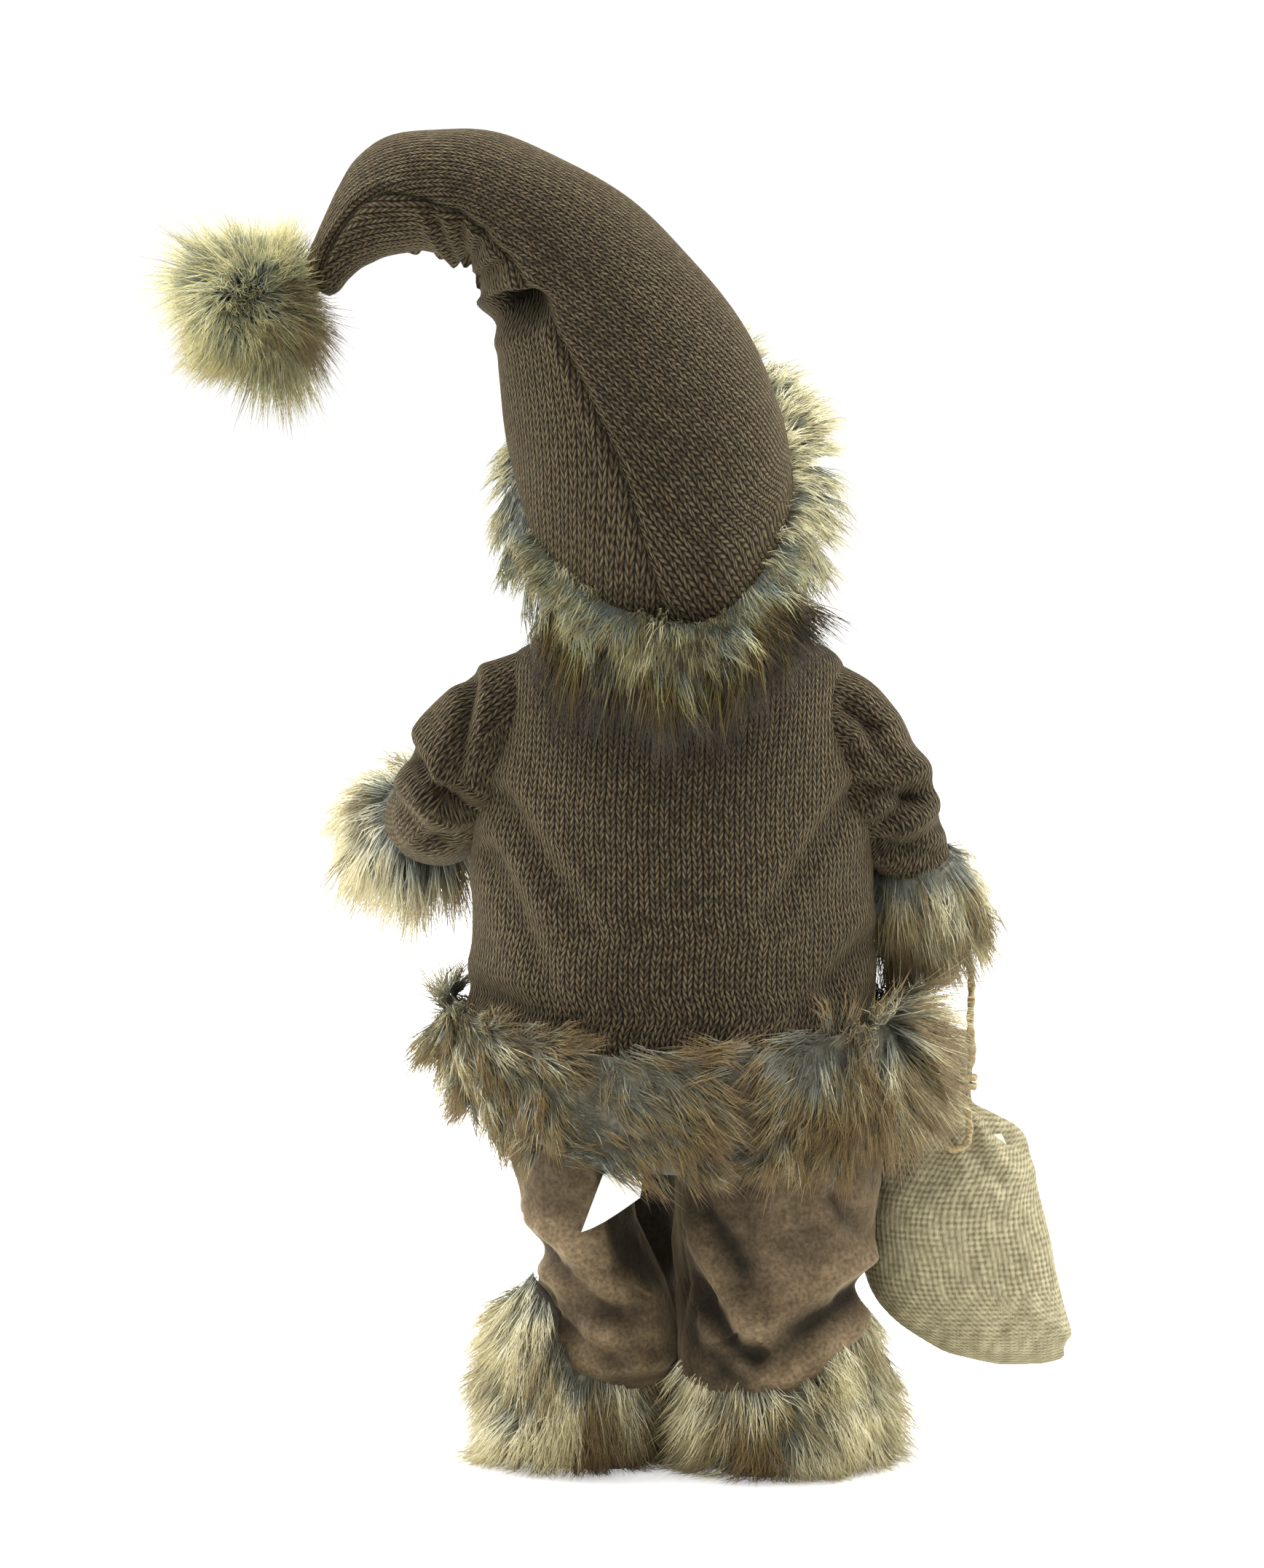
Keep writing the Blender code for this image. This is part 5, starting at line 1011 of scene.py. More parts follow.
# height and depth of the gap between the legs, which meet in front
GROOVES = {"left": ((0.050, 0.071, 0.094, 0.120), (0.0, 0.0065, 0.017, 0.020)),
           "right": ((0.045, 0.053, 0.071, 0.090, 0.120), (0.002, 0.0030, 0.0065, 0.003, 0.002))}
for side in ("left", "right"):
    rows = curve_through(TROUSER_STATIONS[side], 14)
    turns = circle(LEG_COLUMNS)
    half = (rows[:, 2:3] - rows[:, 1:2]) / 2
    leg_x, leg_y = (rows[:, 1:2] + rows[:, 2:3]) / 2, ANKLES[side][1] + 0.001
    rings = level_rings(leg_x, leg_y, half, rows[:, 3:4], rows[:, :1], turns)
    at_back = np.clip(0.5 + 1.4 * np.sin(turns), 0, 1)[None]
    front_folds = fold_push(rings + (0, 0, 0.006), TROUSER_FOLDS[side])
    ends = np.interp(rows[:, 0], (0.031, 0.040, 0.112, 0.130), (0, 1, 1, 0))[:, None]
    push = fold_push(rings, TROUSER_FOLDS[side]) * at_back + front_folds * (1 - at_back)
    push = push * ends + 0.0010 * soft_lumps(rings, 0.030, 61) + 0.0004 * soft_lumps(rings, 0.012, 62)
    inward = np.cos(turns) * (-1 if side == "left" else 1)
    push = push * (1 - np.clip(inward * 2.5 - 1.5, 0, 1)[None])
    groove = np.clip(inward, 0, 1) ** 0.5 * np.clip((np.sin(turns) + 0.45) / 0.6, 0, 1)
    bridge = np.clip(inward, 0, 1) ** 0.5 * bell(np.sin(turns) + 0.62, 0.28)
    groove = groove[None] * np.interp(rows[:, 0], *GROOVES[side])[:, None]
    push += 0.0062 * bridge[None] - groove
    leg = lofted(side + "_velour_leg", rings + spokes(turns) * push[:, :, None], finish=trouser_velour)
    # The height of the folds, for painted light on their crests and painted shade in their valleys and
    # between the legs
    mark(leg, "fold", np.clip(push / 0.0038, -1, 1))
    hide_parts(side + "_trouser_leg")
    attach(leg, "doll")
SEAT_MIDDLE = (-0.02347, 0.00624)
# height, half width, half depth
SEAT_STATIONS = ((0.1290, 0.058, 0.042), (0.1305, 0.064, 0.048), (0.136, 0.066, 0.050),
                 (0.146, 0.066, 0.050), (0.1495, 0.063, 0.047), (0.1500, 0.050, 0.036))
seat_rows = curve_through(SEAT_STATIONS, 6)
seat_rings = level_rings(*SEAT_MIDDLE, seat_rows[:, 1:2], seat_rows[:, 2:3], seat_rows[:, :1], circle(120))
seat_rings = seat_rings + 0.0006 * soft_lumps(seat_rings, 0.03, 63)[:, :, None]
seat = lofted("velour_seat", seat_rings, finish=trouser_velour)
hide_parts("trouser_seat")
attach(seat, "doll")


# Boots: stuffed feet of dark brown suede with a stitched lower edge, on flat black rubber soles
def foot_ring(ankle, half_width, heel, toe, turns):
    """A foot's outline: a rounded oblong round the ankle, its toe towards -Y."""
    across = np.sign(np.cos(turns)) * np.abs(np.cos(turns)) ** 0.75
    along = np.sign(np.sin(turns)) * np.abs(np.sin(turns)) ** 0.85
    reach = np.where(along > 0, heel, toe)
    return np.stack((ankle[0] + half_width * across, ankle[1] + along * reach), axis=1)


def stitched(name, cloth, thread, at_height, step=0.0042, grain=420.0, sheen=0.4):
    """Brushed leather or felt with one row of stitches at a height, dashes along the map's first way."""
    made, tree, shader = new_material(name)
    space = add(tree, "TexCoord").outputs["Object"]
    place = add(tree, "UVMap", uv_map="cloth")
    axis = add(tree, "SeparateXYZ", {0: place})
    grains = add(tree, "TexNoise", {"Vector": space, "Scale": grain, "Detail": 3.0})
    scuffs = add(tree, "TexNoise", {"Vector": space, "Scale": 38.0, "Detail": 3.0})
    spread = add(tree, "Math", {0: grains, 1: 0.5, 2: scuffs}, operation="MULTIPLY_ADD")
    lay = add(tree, "MapRange", {"Value": spread, "From Min": 0.55, "From Max": 0.95,
                                 "To Min": 0.72, "To Max": 1.30})
    body = add(tree, "VectorMath", {0: linear(cloth)[:3], "Scale": lay}, operation="SCALE")
    off = add(tree, "Math", {0: axis.outputs["Y"], 1: at_height}, operation="SUBTRACT")
    near = add(tree, "Math", {0: off}, operation="ABSOLUTE")
    row = add(tree, "Math", {0: near, 1: 0.00032}, operation="LESS_THAN")
    beat = add(tree, "Math", {0: axis.outputs["X"], 1: step}, operation="PINGPONG")
    dash = add(tree, "Math", {0: beat, 1: step * 0.62}, operation="LESS_THAN")
    seam = add(tree, "Math", {0: row, 1: dash}, operation="MULTIPLY")
    colour = add(tree, "Mix", {"Factor": seam, 6: body, 7: linear(thread)}, data_type="RGBA")
    height = add(tree, "Math", {0: seam, 1: 0.8, 2: grains}, operation="MULTIPLY_ADD")
    relief = add(tree, "Bump", {"Height": height, "Strength": 0.7, "Distance": 0.0005})
    connect(tree, shader, {"Base Color": colour.outputs[2], "Normal": relief, "Roughness": 0.9,
                           "Specular IOR Level": 0.2, "Sheen Weight": sheen, "Sheen Tint": linear(thread)})
    return made


def reclothe(node, finish):
    """Gives a solid that shows as it is packed one material of this scene."""
    materials = bpy.data.objects[node].data.materials
    materials.clear()
    materials.append(finish)


FOOT_HALF_WIDTH, HEEL_LENGTH, TOE_LENGTH = 0.0265, 0.0285, 0.0775
BOOT_FOOT = 0.0053
BOOT_COLUMNS = 180
# height, change of half width, heel and toe
BOOT_STATIONS = ((0.0000, -0.0012, -0.0012, -0.0018), (0.0012, 0.0000, 0.0000, 0.0000),
                 (0.0060, 0.0004, 0.0002, 0.0002), (0.0120, 0.0000, 0.0000, -0.0022),
                 (0.0175, -0.0020, -0.0010, -0.0108), (0.0215, -0.0042, -0.0026, -0.0320),
                 (0.0243, -0.0062, -0.0046, -0.0480))
boot_suede = stitched("dark_brown_suede", "#4a3727", "#a98c62", 0.0045)
rubber = mottled("black_sole_rubber", "#211d1a", "#35302b", 260, rough=0.75, rise=0.0004)
boot_rows = curve_through(BOOT_STATIONS, 6)
boot_turns = circle(BOOT_COLUMNS)
for side in ("left", "right"):
    rings = np.stack([np.column_stack((
        foot_ring(ANKLES[side], FOOT_HALF_WIDTH + wider, HEEL_LENGTH + heel, TOE_LENGTH + toe, boot_turns),
        np.full(BOOT_COLUMNS, BOOT_FOOT + up))) for up, wider, heel, toe in boot_rows])
    middle = np.array((*ANKLES[side], 0)) + (0, -0.024, 0)
    out = unit_rows((rings - middle) * (1, 0.6, 0))
    lift = np.interp(boot_rows[:, 0], (0, 0.006, 0.024), (0, 0.4, 1))[:, None]
    rings += out * (0.0006 * lift * soft_lumps(rings, 0.022, 71))[:, :, None]
    high = np.repeat(boot_rows[:, :1], BOOT_COLUMNS + 1, axis=1)
    boot_map = np.stack((around_length(rings), high), axis=2)
    boot = lofted(side + "_suede_boot", rings, (boot_map,), finish=boot_suede)
    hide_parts(side + "_boot")
    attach(boot, "doll")
    reclothe(side + "_sole", rubber)

# Boot fur: deep gaiters round boots and trouser ends. The pile falls outward and down to the floor.
GAITER_LOCKS = 880
# height, half width, half depth of the backing
GAITER_STATIONS = {
    "left": ((0.0040, 0.029, 0.031), (0.012, 0.0305, 0.0320), (0.026, 0.0300, 0.0305),
             (0.042, 0.0270, 0.0270), (0.058, 0.0225, 0.0225), (0.070, 0.0165, 0.0170)),
    "right": ((0.0040, 0.033, 0.032), (0.012, 0.0345, 0.0330), (0.026, 0.0345, 0.0315),
              (0.040, 0.0330, 0.0285), (0.054, 0.0300, 0.0250), (0.066, 0.0260, 0.0200)),
}
GAITER_SHIFT = {"left": 0.0070, "right": -0.0020}
GAITER_PILE = 0.0225
for side, seed in (("left", 81), ("right", 82)):
    rng = np.random.default_rng(seed)
    rows = curve_through(GAITER_STATIONS[side], 5)
    middle = np.array((ANKLES[side][0] + GAITER_SHIFT[side], ANKLES[side][1]))
    turns = circle(48)
    outward = 1 if side == "left" else -1
    foot = rows[0, 0]
    # the cosine of the angle from outward, and the backing's top there
    tops = (-1, 0, 0.5, 1), (0.046, 0.036, 0.060, rows[-1, 0])
    shell_top = np.interp(outward * np.cos(turns), *tops)
    shell_z = foot + (shell_top[None] - foot) * (rows[:, :1] - foot) / (rows[-1, 0] - foot)
    shell_wide, shell_deep = (np.interp(shell_z, rows[:, 0], rows[:, i]) for i in (1, 2))
    shell = level_rings(middle[0], middle[1], shell_wide, shell_deep, shell_z, turns)
    turn = rng.uniform(0, 2 * math.pi, GAITER_LOCKS)
    outer = outward * np.cos(turn)
    top = np.interp(outer, *tops)
    z = foot + 0.003 + (top - foot - 0.003) * rng.uniform(0, 1, GAITER_LOCKS)
    wide, deep = (np.interp(z, rows[:, 0], rows[:, i]) for i in (1, 2))
    roots = np.stack((middle[0] + wide * np.cos(turn), middle[1] + deep * np.sin(turn), z), axis=1)
    out = unit_rows(np.stack((np.cos(turn) / wide, np.sin(turn) / deep, 12 * (z - 0.02)), axis=1))
    lies = out * 0.50 + np.array((0, 0, -0.85))
    # Painted light: the pile is paler towards each boot's outer side, as light on the outline
    tones = 0.42 + 1.5 * (noise_at(roots, 0.024, 83) - 0.5) + 0.68 * np.clip(outer * 1.5, 0, 1)
    tones = np.clip(tones, 0, 1)
    lengths = GAITER_PILE * (0.65 + 0.62 * noise_at(roots, 0.02, 84))
    gaiter = pile(side + "_boot_pile", roots, out, lies, lengths, tones, seed + 4, lock_radius=0.0030,
                  rise=0.30, droop=0.10, swirl=0.42, finish=mottled_fur, floor_at=0.0004)
    inner = lofted(side + "_boot_fur_backing", shell, finish=backing_knit)
    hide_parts(side + "_boot_fur")
    for piece in (gaiter, inner):
        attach(piece, "doll")

# Sack: a stuffed pouch of plain-woven burlap whose mouth is drawn together. The threads stand out of
# the cloth, and its lower corner pokes out past the filling.
SACK_COLUMNS = 344
BURLAP_PITCH = 0.00248
knot = joint_at["sack_swing"]
# height over the knot, low x, high x, half depth
SACK_STATIONS = ((-0.1025, -0.0360, -0.0150, 0.0040), (-0.100, -0.0440, -0.0050, 0.0090),
                 (-0.096, -0.0455, 0.0080, 0.0125), (-0.085, -0.0440, 0.0240, 0.0200),
                 (-0.070, -0.0400, 0.0332, 0.0255), (-0.052, -0.0360, 0.0366, 0.0272),
                 (-0.034, -0.0330, 0.0345, 0.0264), (-0.020, -0.0285, 0.0295, 0.0232),
                 (-0.010, -0.0225, 0.0220, 0.0182), (-0.004, -0.0145, 0.0145, 0.0125),
                 (0.0002, -0.0072, 0.0072, 0.0072), (0.0035, -0.0052, 0.0052, 0.0052),
                 (0.0128, -0.0054, 0.0054, 0.0054), (0.0185, -0.0066, 0.0096, 0.0075),
                 (0.0270, -0.0070, 0.0130, 0.0090), (0.0275, -0.0050, 0.0105, 0.0066),
                 (0.0170, -0.0030, 0.0045, 0.0036))
sack_rows = curve_through(SACK_STATIONS, 16)
sack_turns = circle(SACK_COLUMNS)
sack_half = (sack_rows[:, 2:3] - sack_rows[:, 1:2]) / 2
sack_x = knot[0] + (sack_rows[:, 1:2] + sack_rows[:, 2:3]) / 2
sack_rings = level_rings(sack_x, knot[1], sack_half, sack_rows[:, 3:4], knot[2] + sack_rows[:, :1],
                         sack_turns)
sack_out = spokes(sack_turns)
gather = bell(sack_rows[:, 0] + 0.006, 0.016)[:, None]
neck = bell(sack_rows[:, 0] - 0.008, 0.011)[:, None]
pleats = np.sin(9 * sack_turns + 1.4 * np.sin(3 * sack_turns + 1))[None]
sack_push = 0.0013 * gather * pleats * (1 - neck) + 0.0006 * neck * pleats
sack_push = sack_push + 0.0014 * soft_lumps(sack_rings, 0.045, 91)
SACK_CREASES = ((-0.124, 0.134, -0.146, 0.108, -0.0022, 0.0030),
                (-0.134, 0.134, -0.158, 0.116, -0.0018, 0.0028),
                (-0.116, 0.130, -0.104, 0.110, -0.0014, 0.0030),
                (-0.172, 0.046, -0.146, 0.062, 0.0022, 0.0040),
                (-0.160, 0.036, -0.128, 0.044, -0.0016, 0.0030))
off_neck = 1 - bell(sack_rows[:, 0] - 0.012, 0.012)[:, None]
sack_push = sack_push + fold_push(sack_rings, SACK_CREASES) * off_neck
sack_rings = sack_rings + sack_out * sack_push[:, :, None]
sack_round = around_length(sack_rings)
sack_down = route_length(sack_rings[:, SACK_COLUMNS // 4])
warp = (sack_round[:, :-1] + 0.0006 * soft_lumps(sack_rings, 0.02, 92)) / BURLAP_PITCH
weft = (sack_down[:, None] + 0.0006 * soft_lumps(sack_rings, 0.02, 93)) / BURLAP_PITCH
over = np.sin(math.pi * (warp % 1)) * (0.62 + 0.38 * np.cos(math.pi * (weft - 0.5 + np.floor(warp))))
under = np.sin(math.pi * (weft % 1)) * (0.62 - 0.38 * np.cos(math.pi * (warp - 0.5 + np.floor(weft))))
weave = np.maximum(over, under) * (0.88 + 0.12 * soft_lumps(sack_rings, 0.006, 94))
sack_rings = sack_rings + sack_out * (0.00055 * (weave - 0.7))[:, :, None]
burlap, tree, shader = new_material("jute_burlap")
woven = add(tree, "Attribute", attribute_name="weave")
space = add(tree, "TexCoord").outputs["Object"]
fibre = add(tree, "TexNoise", {"Vector": space, "Scale": 1300.0, "Detail": 3.0})
batch = add(tree, "TexNoise", {"Vector": space, "Scale": 160.0, "Detail": 2.0})
# Painted shade: the low places of the weave, between the threads, are darker
height = add(tree, "Math", {0: fibre, 1: 0.30, 2: woven.outputs["Fac"]}, operation="MULTIPLY_ADD")
shade = ramp(tree, height, ((0.42, "#70684c"), (0.66, "#918a6e"), (0.967, "#b0a889")))
tone = add(tree, "MapRange", {"Value": batch, "From Min": 0.3, "From Max": 0.7,
                              "To Min": 0.84, "To Max": 1.14})
mixed = add(tree, "VectorMath", {0: shade, "Scale": tone}, operation="SCALE")
relief = add(tree, "Bump", {"Height": fibre, "Strength": 0.8, "Distance": 0.0004})
connect(tree, shader, {"Base Color": mixed, "Normal": relief, "Roughness": 0.95, "Specular IOR Level": 0.15})
sack = lofted("burlap_sack", sack_rings, finish=burlap)
mark(sack, "weave", weave, at_poles=0.7)
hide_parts("sack_cloth")
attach(sack, "sack")


# Twine: two-ply jute. One length holds the sack to the mitten, one is wound twice round its neck and
# one is tied in a bow there.
def rope(name, points, radius, finish, reference, twist=0.0062, steps=6, columns=18, plies=2):
    """Twisted cord along a route: its section has a lobe for each ply and turns once in each twist."""
    route = curve_through(np.asarray(points, float), steps)
    length = route_length(route)
    even = np.linspace(0, length[-1], max(int(length[-1] / 0.0006), 8))
    route = np.stack([np.interp(even, length, route[:, i]) for i in range(3)], axis=1)
    turns = circle(columns)
    ways = np.gradient(route, axis=0)
    twisted = turns[None] - 2 * math.pi * even[:, None] / (twist * plies)
    lobes = 0.66 + 0.38 * np.abs(np.cos(twisted * plies / 2))
    rings = tube_rings(route, ways, radius, radius, turns, reference)
    rings = route[:, None] + (rings - route[:, None]) * lobes[:, :, None]
    return lofted(name, rings, finish=finish)


def jute(name, low, high):
    """Jute fibres: fine pale and dark streaks, matt."""
    return mottled(name, low, high, 900, rough=0.95, rise=0.0005)


jute_twine = jute("jute_twine_fibre", "#75643f", "#b9a77c")
TWINE_RADIUS = 0.00155
hand = joint_at["sack_twine_swing"] + (0.0045, 0, 0)
half_span = 0.0110
loop = [knot + (0.0004, 0, 0.0150), knot + (0.0010, 0, 0.0200), knot + (0.0060, 0.0010, 0.0330),
        hand + (half_span - 0.0015, 0.0005, -0.0110), hand + (half_span - 0.0002, 0, -0.0020),
        hand + (half_span * 0.72, 0, 0), hand + (0, 0, 0.0002), hand + (-half_span * 0.72, 0, 0),
        hand + (-half_span - 0.0002, 0, -0.0020), hand + (-half_span - 0.0010, 0.0040, -0.0140),
        hand + (-half_span - 0.0005, 0.0060, -0.0260), knot + (-0.0060, 0.0050, 0.0200),
        knot + (-0.0040, 0.0020, 0.0150), knot + (-0.0010, 0, 0.0150)]
coil_turns = np.linspace(0, 4 * math.pi, 40)
coil_radius = 0.0054 + TWINE_RADIUS
coil = knot + np.stack((coil_radius * np.sin(coil_turns), coil_radius * np.cos(coil_turns),
                        0.0046 + 0.0034 * coil_turns / (2 * math.pi)), axis=1)
bow_root = np.array((knot[0], knot[1] + coil_radius + 0.0024, knot[2] + 0.0080))
bow_points = [bow_root, bow_root + (0.006, 0.004, -0.005), bow_root + (0.0085, 0.010, -0.015),
              bow_root + (0.0030, 0.0135, -0.0215), bow_root + (-0.0035, 0.0125, -0.0190),
              bow_root + (-0.0040, 0.008, -0.0090), bow_root + (-0.0010, 0.0045, -0.0030),
              bow_root + (0, 0.001, 0.001)]
# name, route, the way that its section keeps to, node, body
TWINES = (("hand_twine_loop", loop, (0, 1, 0), "hand_twine", "sack_twine"),
          ("sack_neck_tie", coil, (0, 0, 1), "sack_tie", "sack"),
          ("sack_bow_loop", bow_points, (0, 0.85, 0.53), "sack_bow", "sack"))
for name, points, reference, node, body in TWINES:
    cordage = rope(name, points, TWINE_RADIUS, jute_twine, reference)
    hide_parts(node)
    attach(cordage, body)

# Mittens: small stuffed hands of the trousers' velour, almost hidden by the cuffs; the left has a thumb
MITTEN_LENGTH, MITTEN_HALF_WIDTH, MITTEN_HALF_DEPTH = 0.028, 0.0132, 0.0090
for side, mirror in (("left", 1), ("right", -1)):
    wrist, wrist_way = wrists[side]
    palm = unit_rows(np.array((1, 0, 0)) - wrist_way[0] * wrist_way)
    thumb_way = np.cross(palm, wrist_way)
    if not (thumb_way[1] < 0 or (side == "left" and thumb_way[2] > 0)):
        thumb_way = -thumb_way
    # share of the mitten's length, share of its half width
    rows = curve_through(((-0.05, 0.80), (0.0, 0.84), (0.25, 0.97), (0.5, 1.0), (0.78, 0.84), (0.92, 0.55),
                          (0.985, 0.22)), 6)
    turns = circle(48)
    centres = wrist + wrist_way * (0.0003 + rows[:, :1] * MITTEN_LENGTH)
    ways = np.repeat(wrist_way[None], len(rows), axis=0)
    rings = tube_rings(centres, ways, MITTEN_HALF_DEPTH * rows[:, 1], MITTEN_HALF_WIDTH * rows[:, 1], turns,
                       thumb_way)
    if side == "left":
        tip = bell(rows[:, 0] - 0.55, 0.16)[:, None] * np.clip(np.sin(turns), 0, 1) ** 6
        rings = rings + (0.0042 * tip)[:, :, None] * thumb_way
    mitten = lofted(side + "_velour_mitten", rings, finish=trouser_velour)
    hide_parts(side + "_mitten")
    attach(mitten, side + "_arm")

# Face: a felt head under the hat with a round nose and two glass bead eyes. It is hidden in the
# photograph, so its features are a plain design of their own.
face_felt = mottled("face_felt", "#b98c6d", "#cfa384", 900, rough=0.9, rise=0.0004)
nose_felt = mottled("nose_felt", "#b07a5c", "#c99072", 900, rough=0.9, rise=0.0004)
bead_glass, tree, shader = new_material("black_bead_glass")
connect(tree, shader, {"Base Color": linear("#120f0d"), "Roughness": 0.08, "Coat Weight": 0.6})


def ball_rings(centre, radii, turns=64, tilts=32):
    """Rings of an ellipsoid from its foot to its top."""
    tilt = math.pi - math.pi * (np.arange(tilts) + 0.5) / tilts
    turn = circle(turns)
    return np.asarray(centre) + np.asarray(radii) * np.stack(
        (np.sin(tilt)[:, None] * np.cos(turn), np.sin(tilt)[:, None] * np.sin(turn),
         np.repeat(np.cos(tilt)[:, None], turns, axis=1)), axis=2)


head_radii = np.array((0.042, 0.042, 0.050))
face_rings = ball_rings(head_centre, head_radii, 96, 48)
face_rings[:, :, 2] = np.maximum(face_rings[:, :, 2], head_low[2])
face_x, ahead, face_up = np.moveaxis(face_rings - head_centre, 2, 0)
cheeks = bell(np.abs(face_x) - 0.021, 0.009) * bell(face_up + 0.008, 0.010) * (ahead < 0)
face_rings = face_rings + cheeks[:, :, None] * (0, -0.0025, 0)
face = lofted("felt_head", face_rings, finish=face_felt)
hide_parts("head")
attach(face, "head")
NOSE_SETBACK = 0.011
nose_low, nose_high = corners_of("nose")
nose_centre = (nose_low + nose_high) / 2
nose_centre[1] = nose_low[1] + NOSE_SETBACK
nose = lofted("felt_nose", ball_rings(nose_centre, (0.0112, 0.0112, 0.0108)), finish=nose_felt)
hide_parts("nose")
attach(nose, "head")
for side in ("left", "right"):
    reclothe(side + "_eye", bead_glass)

# Beard and moustache: cream long-pile fur. The beard hangs from the chin over the coat's front in
# long locks, and the moustache parts under the nose.
CREAM_DARK = ("#8f897b", "#b5ad99", "#c4bca6", "#cdc5ae", "#b9ad90")
CREAM_GREY = ("#a19b8c", "#c9c2b0", "#d8d2c2", "#ded8c8", "#d0c7b0")
CREAM_PALE = ("#b3ad9e", "#dad4c6", "#e9e5da", "#efece3", "#e6e0d2")
cream_fur = furry("cream_acrylic_fur", CREAM_DARK, CREAM_GREY, CREAM_PALE)
# height over the head's centre, y, half width, half depth
BEARD_STATIONS = (
    (-0.118, -0.0765, 0.008, 0.004), (-0.108, -0.0740, 0.016, 0.006), (-0.096, -0.0710, 0.023, 0.007),
    (-0.072, -0.0670, 0.031, 0.008), (-0.046, -0.0580, 0.037, 0.010), (-0.026, -0.0450, 0.038, 0.012),
    (-0.010, -0.0365, 0.037, 0.010), (-0.003, -0.0340, 0.034, 0.005),
)
beard_rows = curve_through(BEARD_STATIONS, 5)
beard_shell = level_rings(head_centre[0], beard_rows[:, 1:2] + SEAT_MIDDLE[1], beard_rows[:, 2:3],
                          beard_rows[:, 3:4], head_centre[2] + beard_rows[:, :1], circle(40))
BEARD_LOCKS, BEARD_PILE = 780, 0.024
rng = np.random.default_rng(101)
up = rng.uniform(-0.112, -0.003, BEARD_LOCKS)
turn = rng.uniform(-math.pi - 0.35, 0.35, BEARD_LOCKS)
spine, wide, deep = (np.interp(up, beard_rows[:, 0], beard_rows[:, i]) for i in (1, 2, 3))
beard_roots = np.stack((head_centre[0] + wide * np.cos(turn), spine + SEAT_MIDDLE[1] + deep * np.sin(turn),
                        head_centre[2] + up), axis=1)
beard_out = unit_rows(np.stack((np.cos(turn) / wide, np.sin(turn) / deep, np.zeros(BEARD_LOCKS)), axis=1))
beard_lies = np.stack((-0.35 * np.cos(turn) * (up < -0.04) + 0.15 * np.cos(turn) * (up > -0.02),
                       np.full(BEARD_LOCKS, -0.10), np.full(BEARD_LOCKS, -1.0)), axis=1)
beard_long = BEARD_PILE * (0.7 + 0.5 * noise_at(beard_roots, 0.02, 102))
beard = pile("beard_pile", beard_roots, beard_out, beard_lies, beard_long,
             0.25 + 0.6 * noise_at(beard_roots, 0.02, 103), 104, lock_radius=0.0030, rise=0.16, droop=0.05,
             finish=cream_fur)
beard_core = lofted("beard_backing", beard_shell, finish=cream_fur)
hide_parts("beard")
MOUSTACHE_LOCKS, MOUSTACHE_PILE = 240, 0.0135
moustache_centre = np.array((head_centre[0], -0.0600 + SEAT_MIDDLE[1], head_centre[2] - 0.0165))
across = rng.uniform(-0.022, 0.022, MOUSTACHE_LOCKS)
round_at = rng.uniform(-2.9, 0.9, MOUSTACHE_LOCKS)
slim = np.sqrt(np.clip(1 - (across / 0.027) ** 2, 0.1, 1))
still = np.zeros(MOUSTACHE_LOCKS)
moustache_out = np.stack((still, -np.cos(round_at + 1.0), np.sin(round_at + 1.0)), axis=1)
moustache_roots = (moustache_centre + np.stack((across, still, -0.10 * np.abs(across)), axis=1)
                   + moustache_out * (0.0042 * slim)[:, None])
moustache_lies = np.stack((np.sign(across) * 0.95, still - 0.10, still - 0.45), axis=1)
moustache = pile("moustache_pile", moustache_roots, moustache_out, moustache_lies, still + MOUSTACHE_PILE,
                 0.45 + 0.5 * noise_at(moustache_roots, 0.012, 105), 106, lock_radius=0.0018, rise=0.25,
                 droop=0.15, finish=cream_fur)
moustache_core = lofted("moustache_backing", ball_rings(moustache_centre, (0.0235, 0.0045, 0.0042), 40, 20),
                        finish=cream_fur)
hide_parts("moustache")
for piece in (beard, beard_core, moustache, moustache_core):
    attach(piece, "head")

# Coat front: a suede band down the front seam with three turned wooden buttons sewn on through two holes
band_low, band_high = corners_of("coat_front_band")
BAND_HALF_WIDTH, BAND_THICKNESS = 0.009, 0.002
BAND_ROWS, BAND_COLUMNS = 60, 40
band_z = np.linspace(band_low[2], band_high[2], BAND_ROWS)
band_wide, band_deep = coat_half(band_z)
corner = np.linspace(0, 2 * math.pi, BAND_COLUMNS, endpoint=False)
band_across = BAND_HALF_WIDTH * np.sign(np.cos(corner)) * np.abs(np.cos(corner)) ** 0.35
band_out = 0.5 + 0.5 * np.sign(np.sin(corner)) * np.abs(np.sin(corner)) ** 0.6
side_turn = np.arcsin(np.clip(band_across[None] / band_wide[:, None], -1, 1))
band_rings = np.stack((coat_middle[0] + np.repeat(band_across[None], BAND_ROWS, axis=0),
                       coat_middle[1] - band_deep[:, None] * np.cos(side_turn) - 0.0004
                       - BAND_THICKNESS * band_out[None],
                       np.repeat(band_z[:, None], BAND_COLUMNS, axis=1)), axis=2)
from_edge = BAND_HALF_WIDTH - np.abs(np.append(band_across, band_across[0]))
band_map = np.stack(np.broadcast_arrays(band_z[:, None], from_edge[None]), axis=2)
band_suede = stitched("band_suede", "#4a3727", "#a98c62", 0.0020, step=0.0026)
band = lofted("suede_front_band", band_rings, (band_map,), finish=band_suede)
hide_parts("coat_front_band")
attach(band, "doll")
beech, tree, shader = new_material("turned_beech")
space = add(tree, "TexCoord").outputs["Object"]
stretch = add(tree, "Mapping", {0: space, "Scale": (900.0, 900.0, 90.0)})
grain = add(tree, "TexNoise", {"Vector": stretch, "Scale": 1.0, "Detail": 3.0})
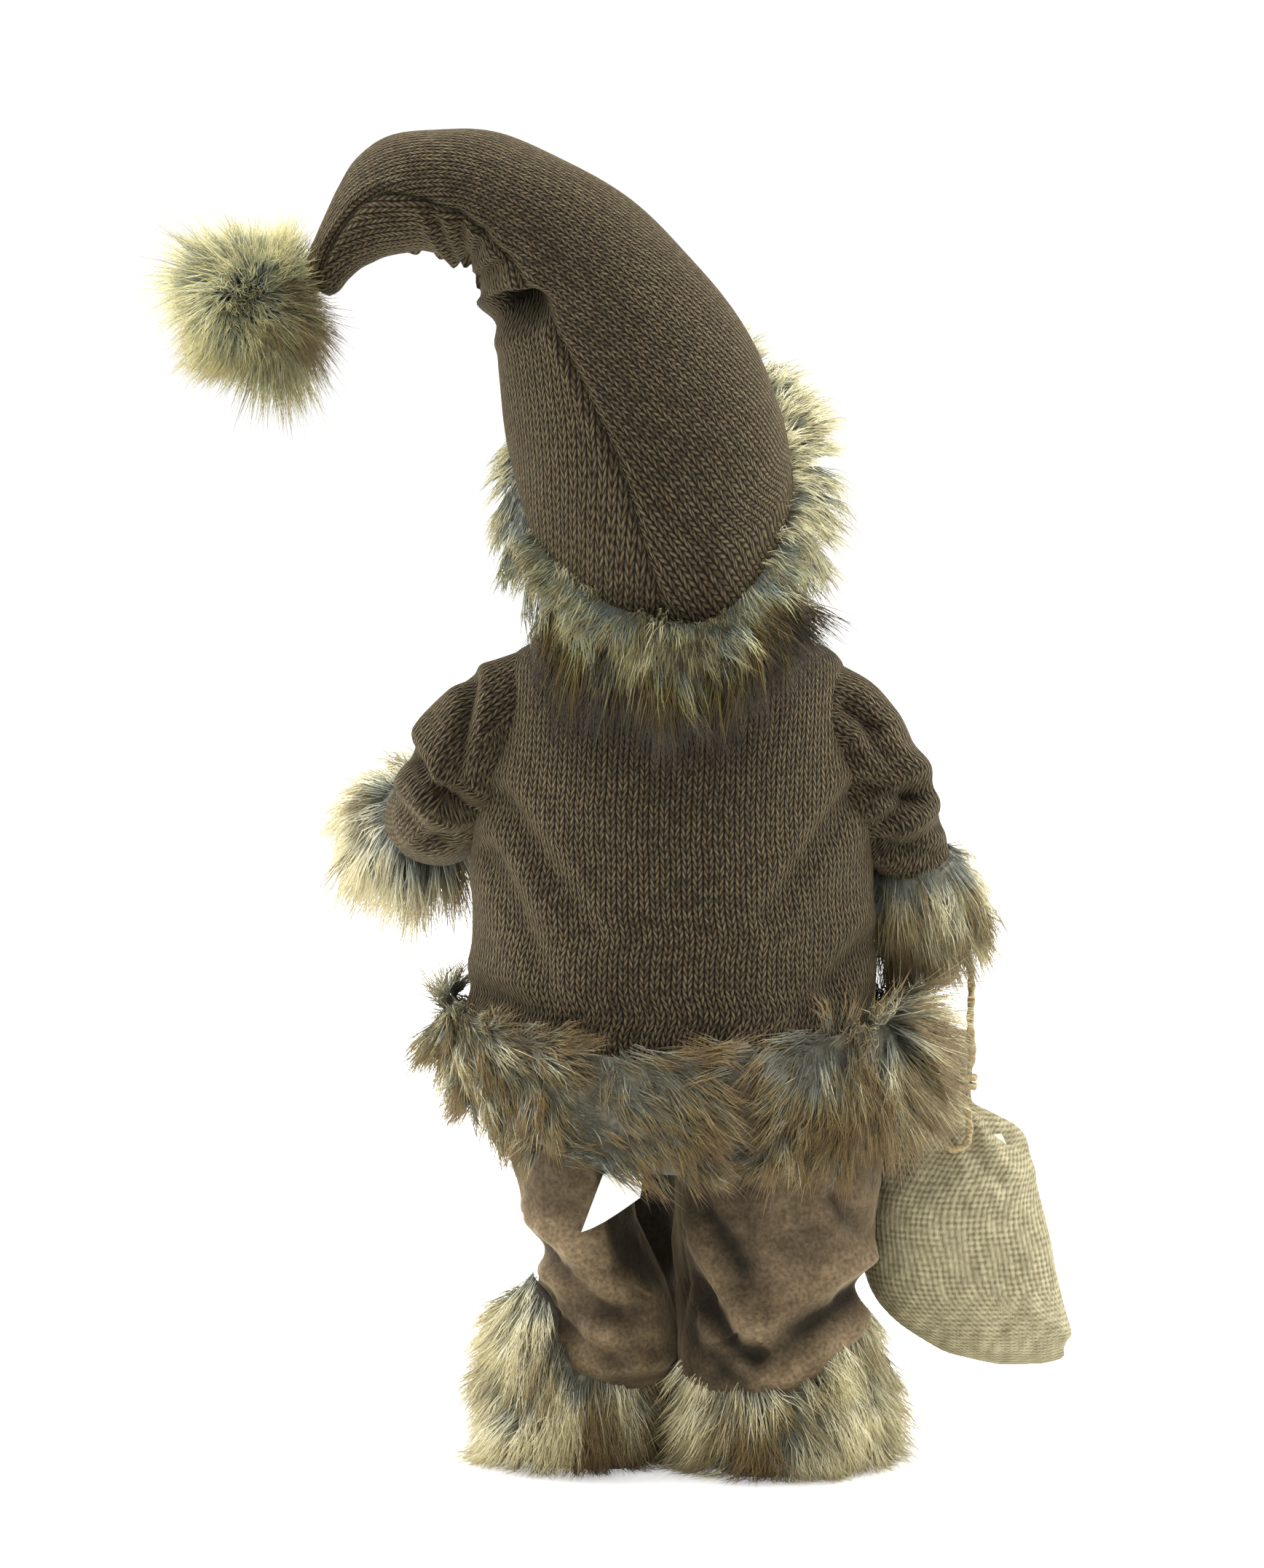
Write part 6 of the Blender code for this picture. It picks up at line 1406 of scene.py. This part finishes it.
rings_tone = add(tree, "Mix", {"Factor": grain, 6: linear("#a87a4c"), 7: linear("#d2a878")},
                 data_type="RGBA")
connect(tree, shader, {"Base Color": rings_tone.outputs[2], "Roughness": 0.45})
BUTTON_RADIUS, BUTTON_DISH = 0.0065, 0.74
# share of the radius, share of the thickness: back, rim, dished face
BUTTON_PROFILE = ((0.85, 0.0), (0.97, 0.12), (1.0, 0.45), (0.97, 0.82), (0.90, 1.0), (0.80, 0.97),
                  (0.70, 0.80), (0.40, 0.74), (0.10, 0.72))
# the thread's way from hole to hole over the dish
THREAD_ROUTE = np.array(((-0.0014, 0.0006, 0), (-0.0013, -0.0004, 0), (0, -0.0007, 0), (0.0013, -0.0004, 0),
                         (0.0014, 0.0006, 0)))
button_turns = circle(56)
button_thread = mottled("button_thread", "#2c2118", "#4a3a2a", 1500, rough=0.9)
for level in ("low", "middle", "high"):
    low_corner, high_corner = corners_of("coat_button_" + level)
    middle = (low_corner + high_corner) / 2
    back_y, thick = high_corner[1], high_corner[1] - low_corner[1]
    rows = curve_through(BUTTON_PROFILE, 4)
    rings = np.stack((middle[0] + BUTTON_RADIUS * rows[:, :1] * np.cos(button_turns),
                      back_y - thick * np.repeat(rows[:, 1:2], len(button_turns), axis=1),
                      middle[2] + BUTTON_RADIUS * rows[:, :1] * np.sin(button_turns)), axis=2)
    button = lofted("beech_button_" + level, rings, finish=beech)
    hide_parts("coat_button_" + level)
    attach(button, "doll")
    points = np.array((middle[0], back_y - thick * BUTTON_DISH, middle[2])) + THREAD_ROUTE
    thread = rope("button_thread_" + level, points, 0.0005, button_thread, (0, 0, 1), columns=10)
    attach(thread, "doll")

# Care label: a bare flap of white satin ribbon sewn in behind the hem, its end curling out
label_low, label_high = corners_of("care_label")
label_satin = mottled("white_satin_ribbon", "#e4e4df", "#f2f2ee", 1200, rough=0.42, rise=0.0001)
label_y = (label_low[1] + label_high[1]) / 2 + 0.002
# its corners: top left, top right, lower left, lower right
LABEL_CORNERS = np.array(((0.0085, label_y, 0.1245), (-0.0075, label_y, 0.1290),
                          (0.0168, label_y + 0.002, 0.1025), (-0.0055, label_y - 0.010, 0.1135)))
down = np.linspace(0, 1, 24)[:, None]
edge = circle(48)
across = (0.5 - 0.5 * np.sign(np.cos(edge)) * np.abs(np.cos(edge)) ** 0.4)[None]
thick = 0.00018 * np.sign(np.sin(edge)) * np.abs(np.sin(edge)) ** 0.5
corners = LABEL_CORNERS[:, None, None]
share_down, share_across = down[..., None], across[..., None]
label_top = (1 - share_across) * corners[0] + share_across * corners[1]
label_end = (1 - share_across) * corners[2] + share_across * corners[3]
label_rings = (1 - share_down) * label_top + share_down * label_end
curl = down * np.sin(math.pi * across)
label_rings += np.stack((0.0022 * curl, 0.0030 * curl + thick[None], -0.0020 * curl), axis=2)
label = lofted("satin_care_label", label_rings, finish=label_satin)
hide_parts("care_label")
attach(label, "doll")

# Hidden core: what stands inside the cloth keeps its CAD form, each part with its own material
calico = mottled("calico_stuffing_cover", "#cfc6b2", "#e2dac8", 1400, rough=0.95)
sand_cloth = mottled("sand_bag_cloth", "#a89b80", "#c6baa0", 1100, rough=0.95)
for names, finish in ((("left_leg_dowel", "right_leg_dowel", "neck_dowel", "hip_board", "neck_disc"), beech),
                      (("torso", "sack_filling"), calico), (("sand_bag",), sand_cloth),
                      (("hat_tail_wire",), wire_steel),
                      (("pompom_shank",), jute_twine)):
    for name in names:
        reclothe(name, finish)

low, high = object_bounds()
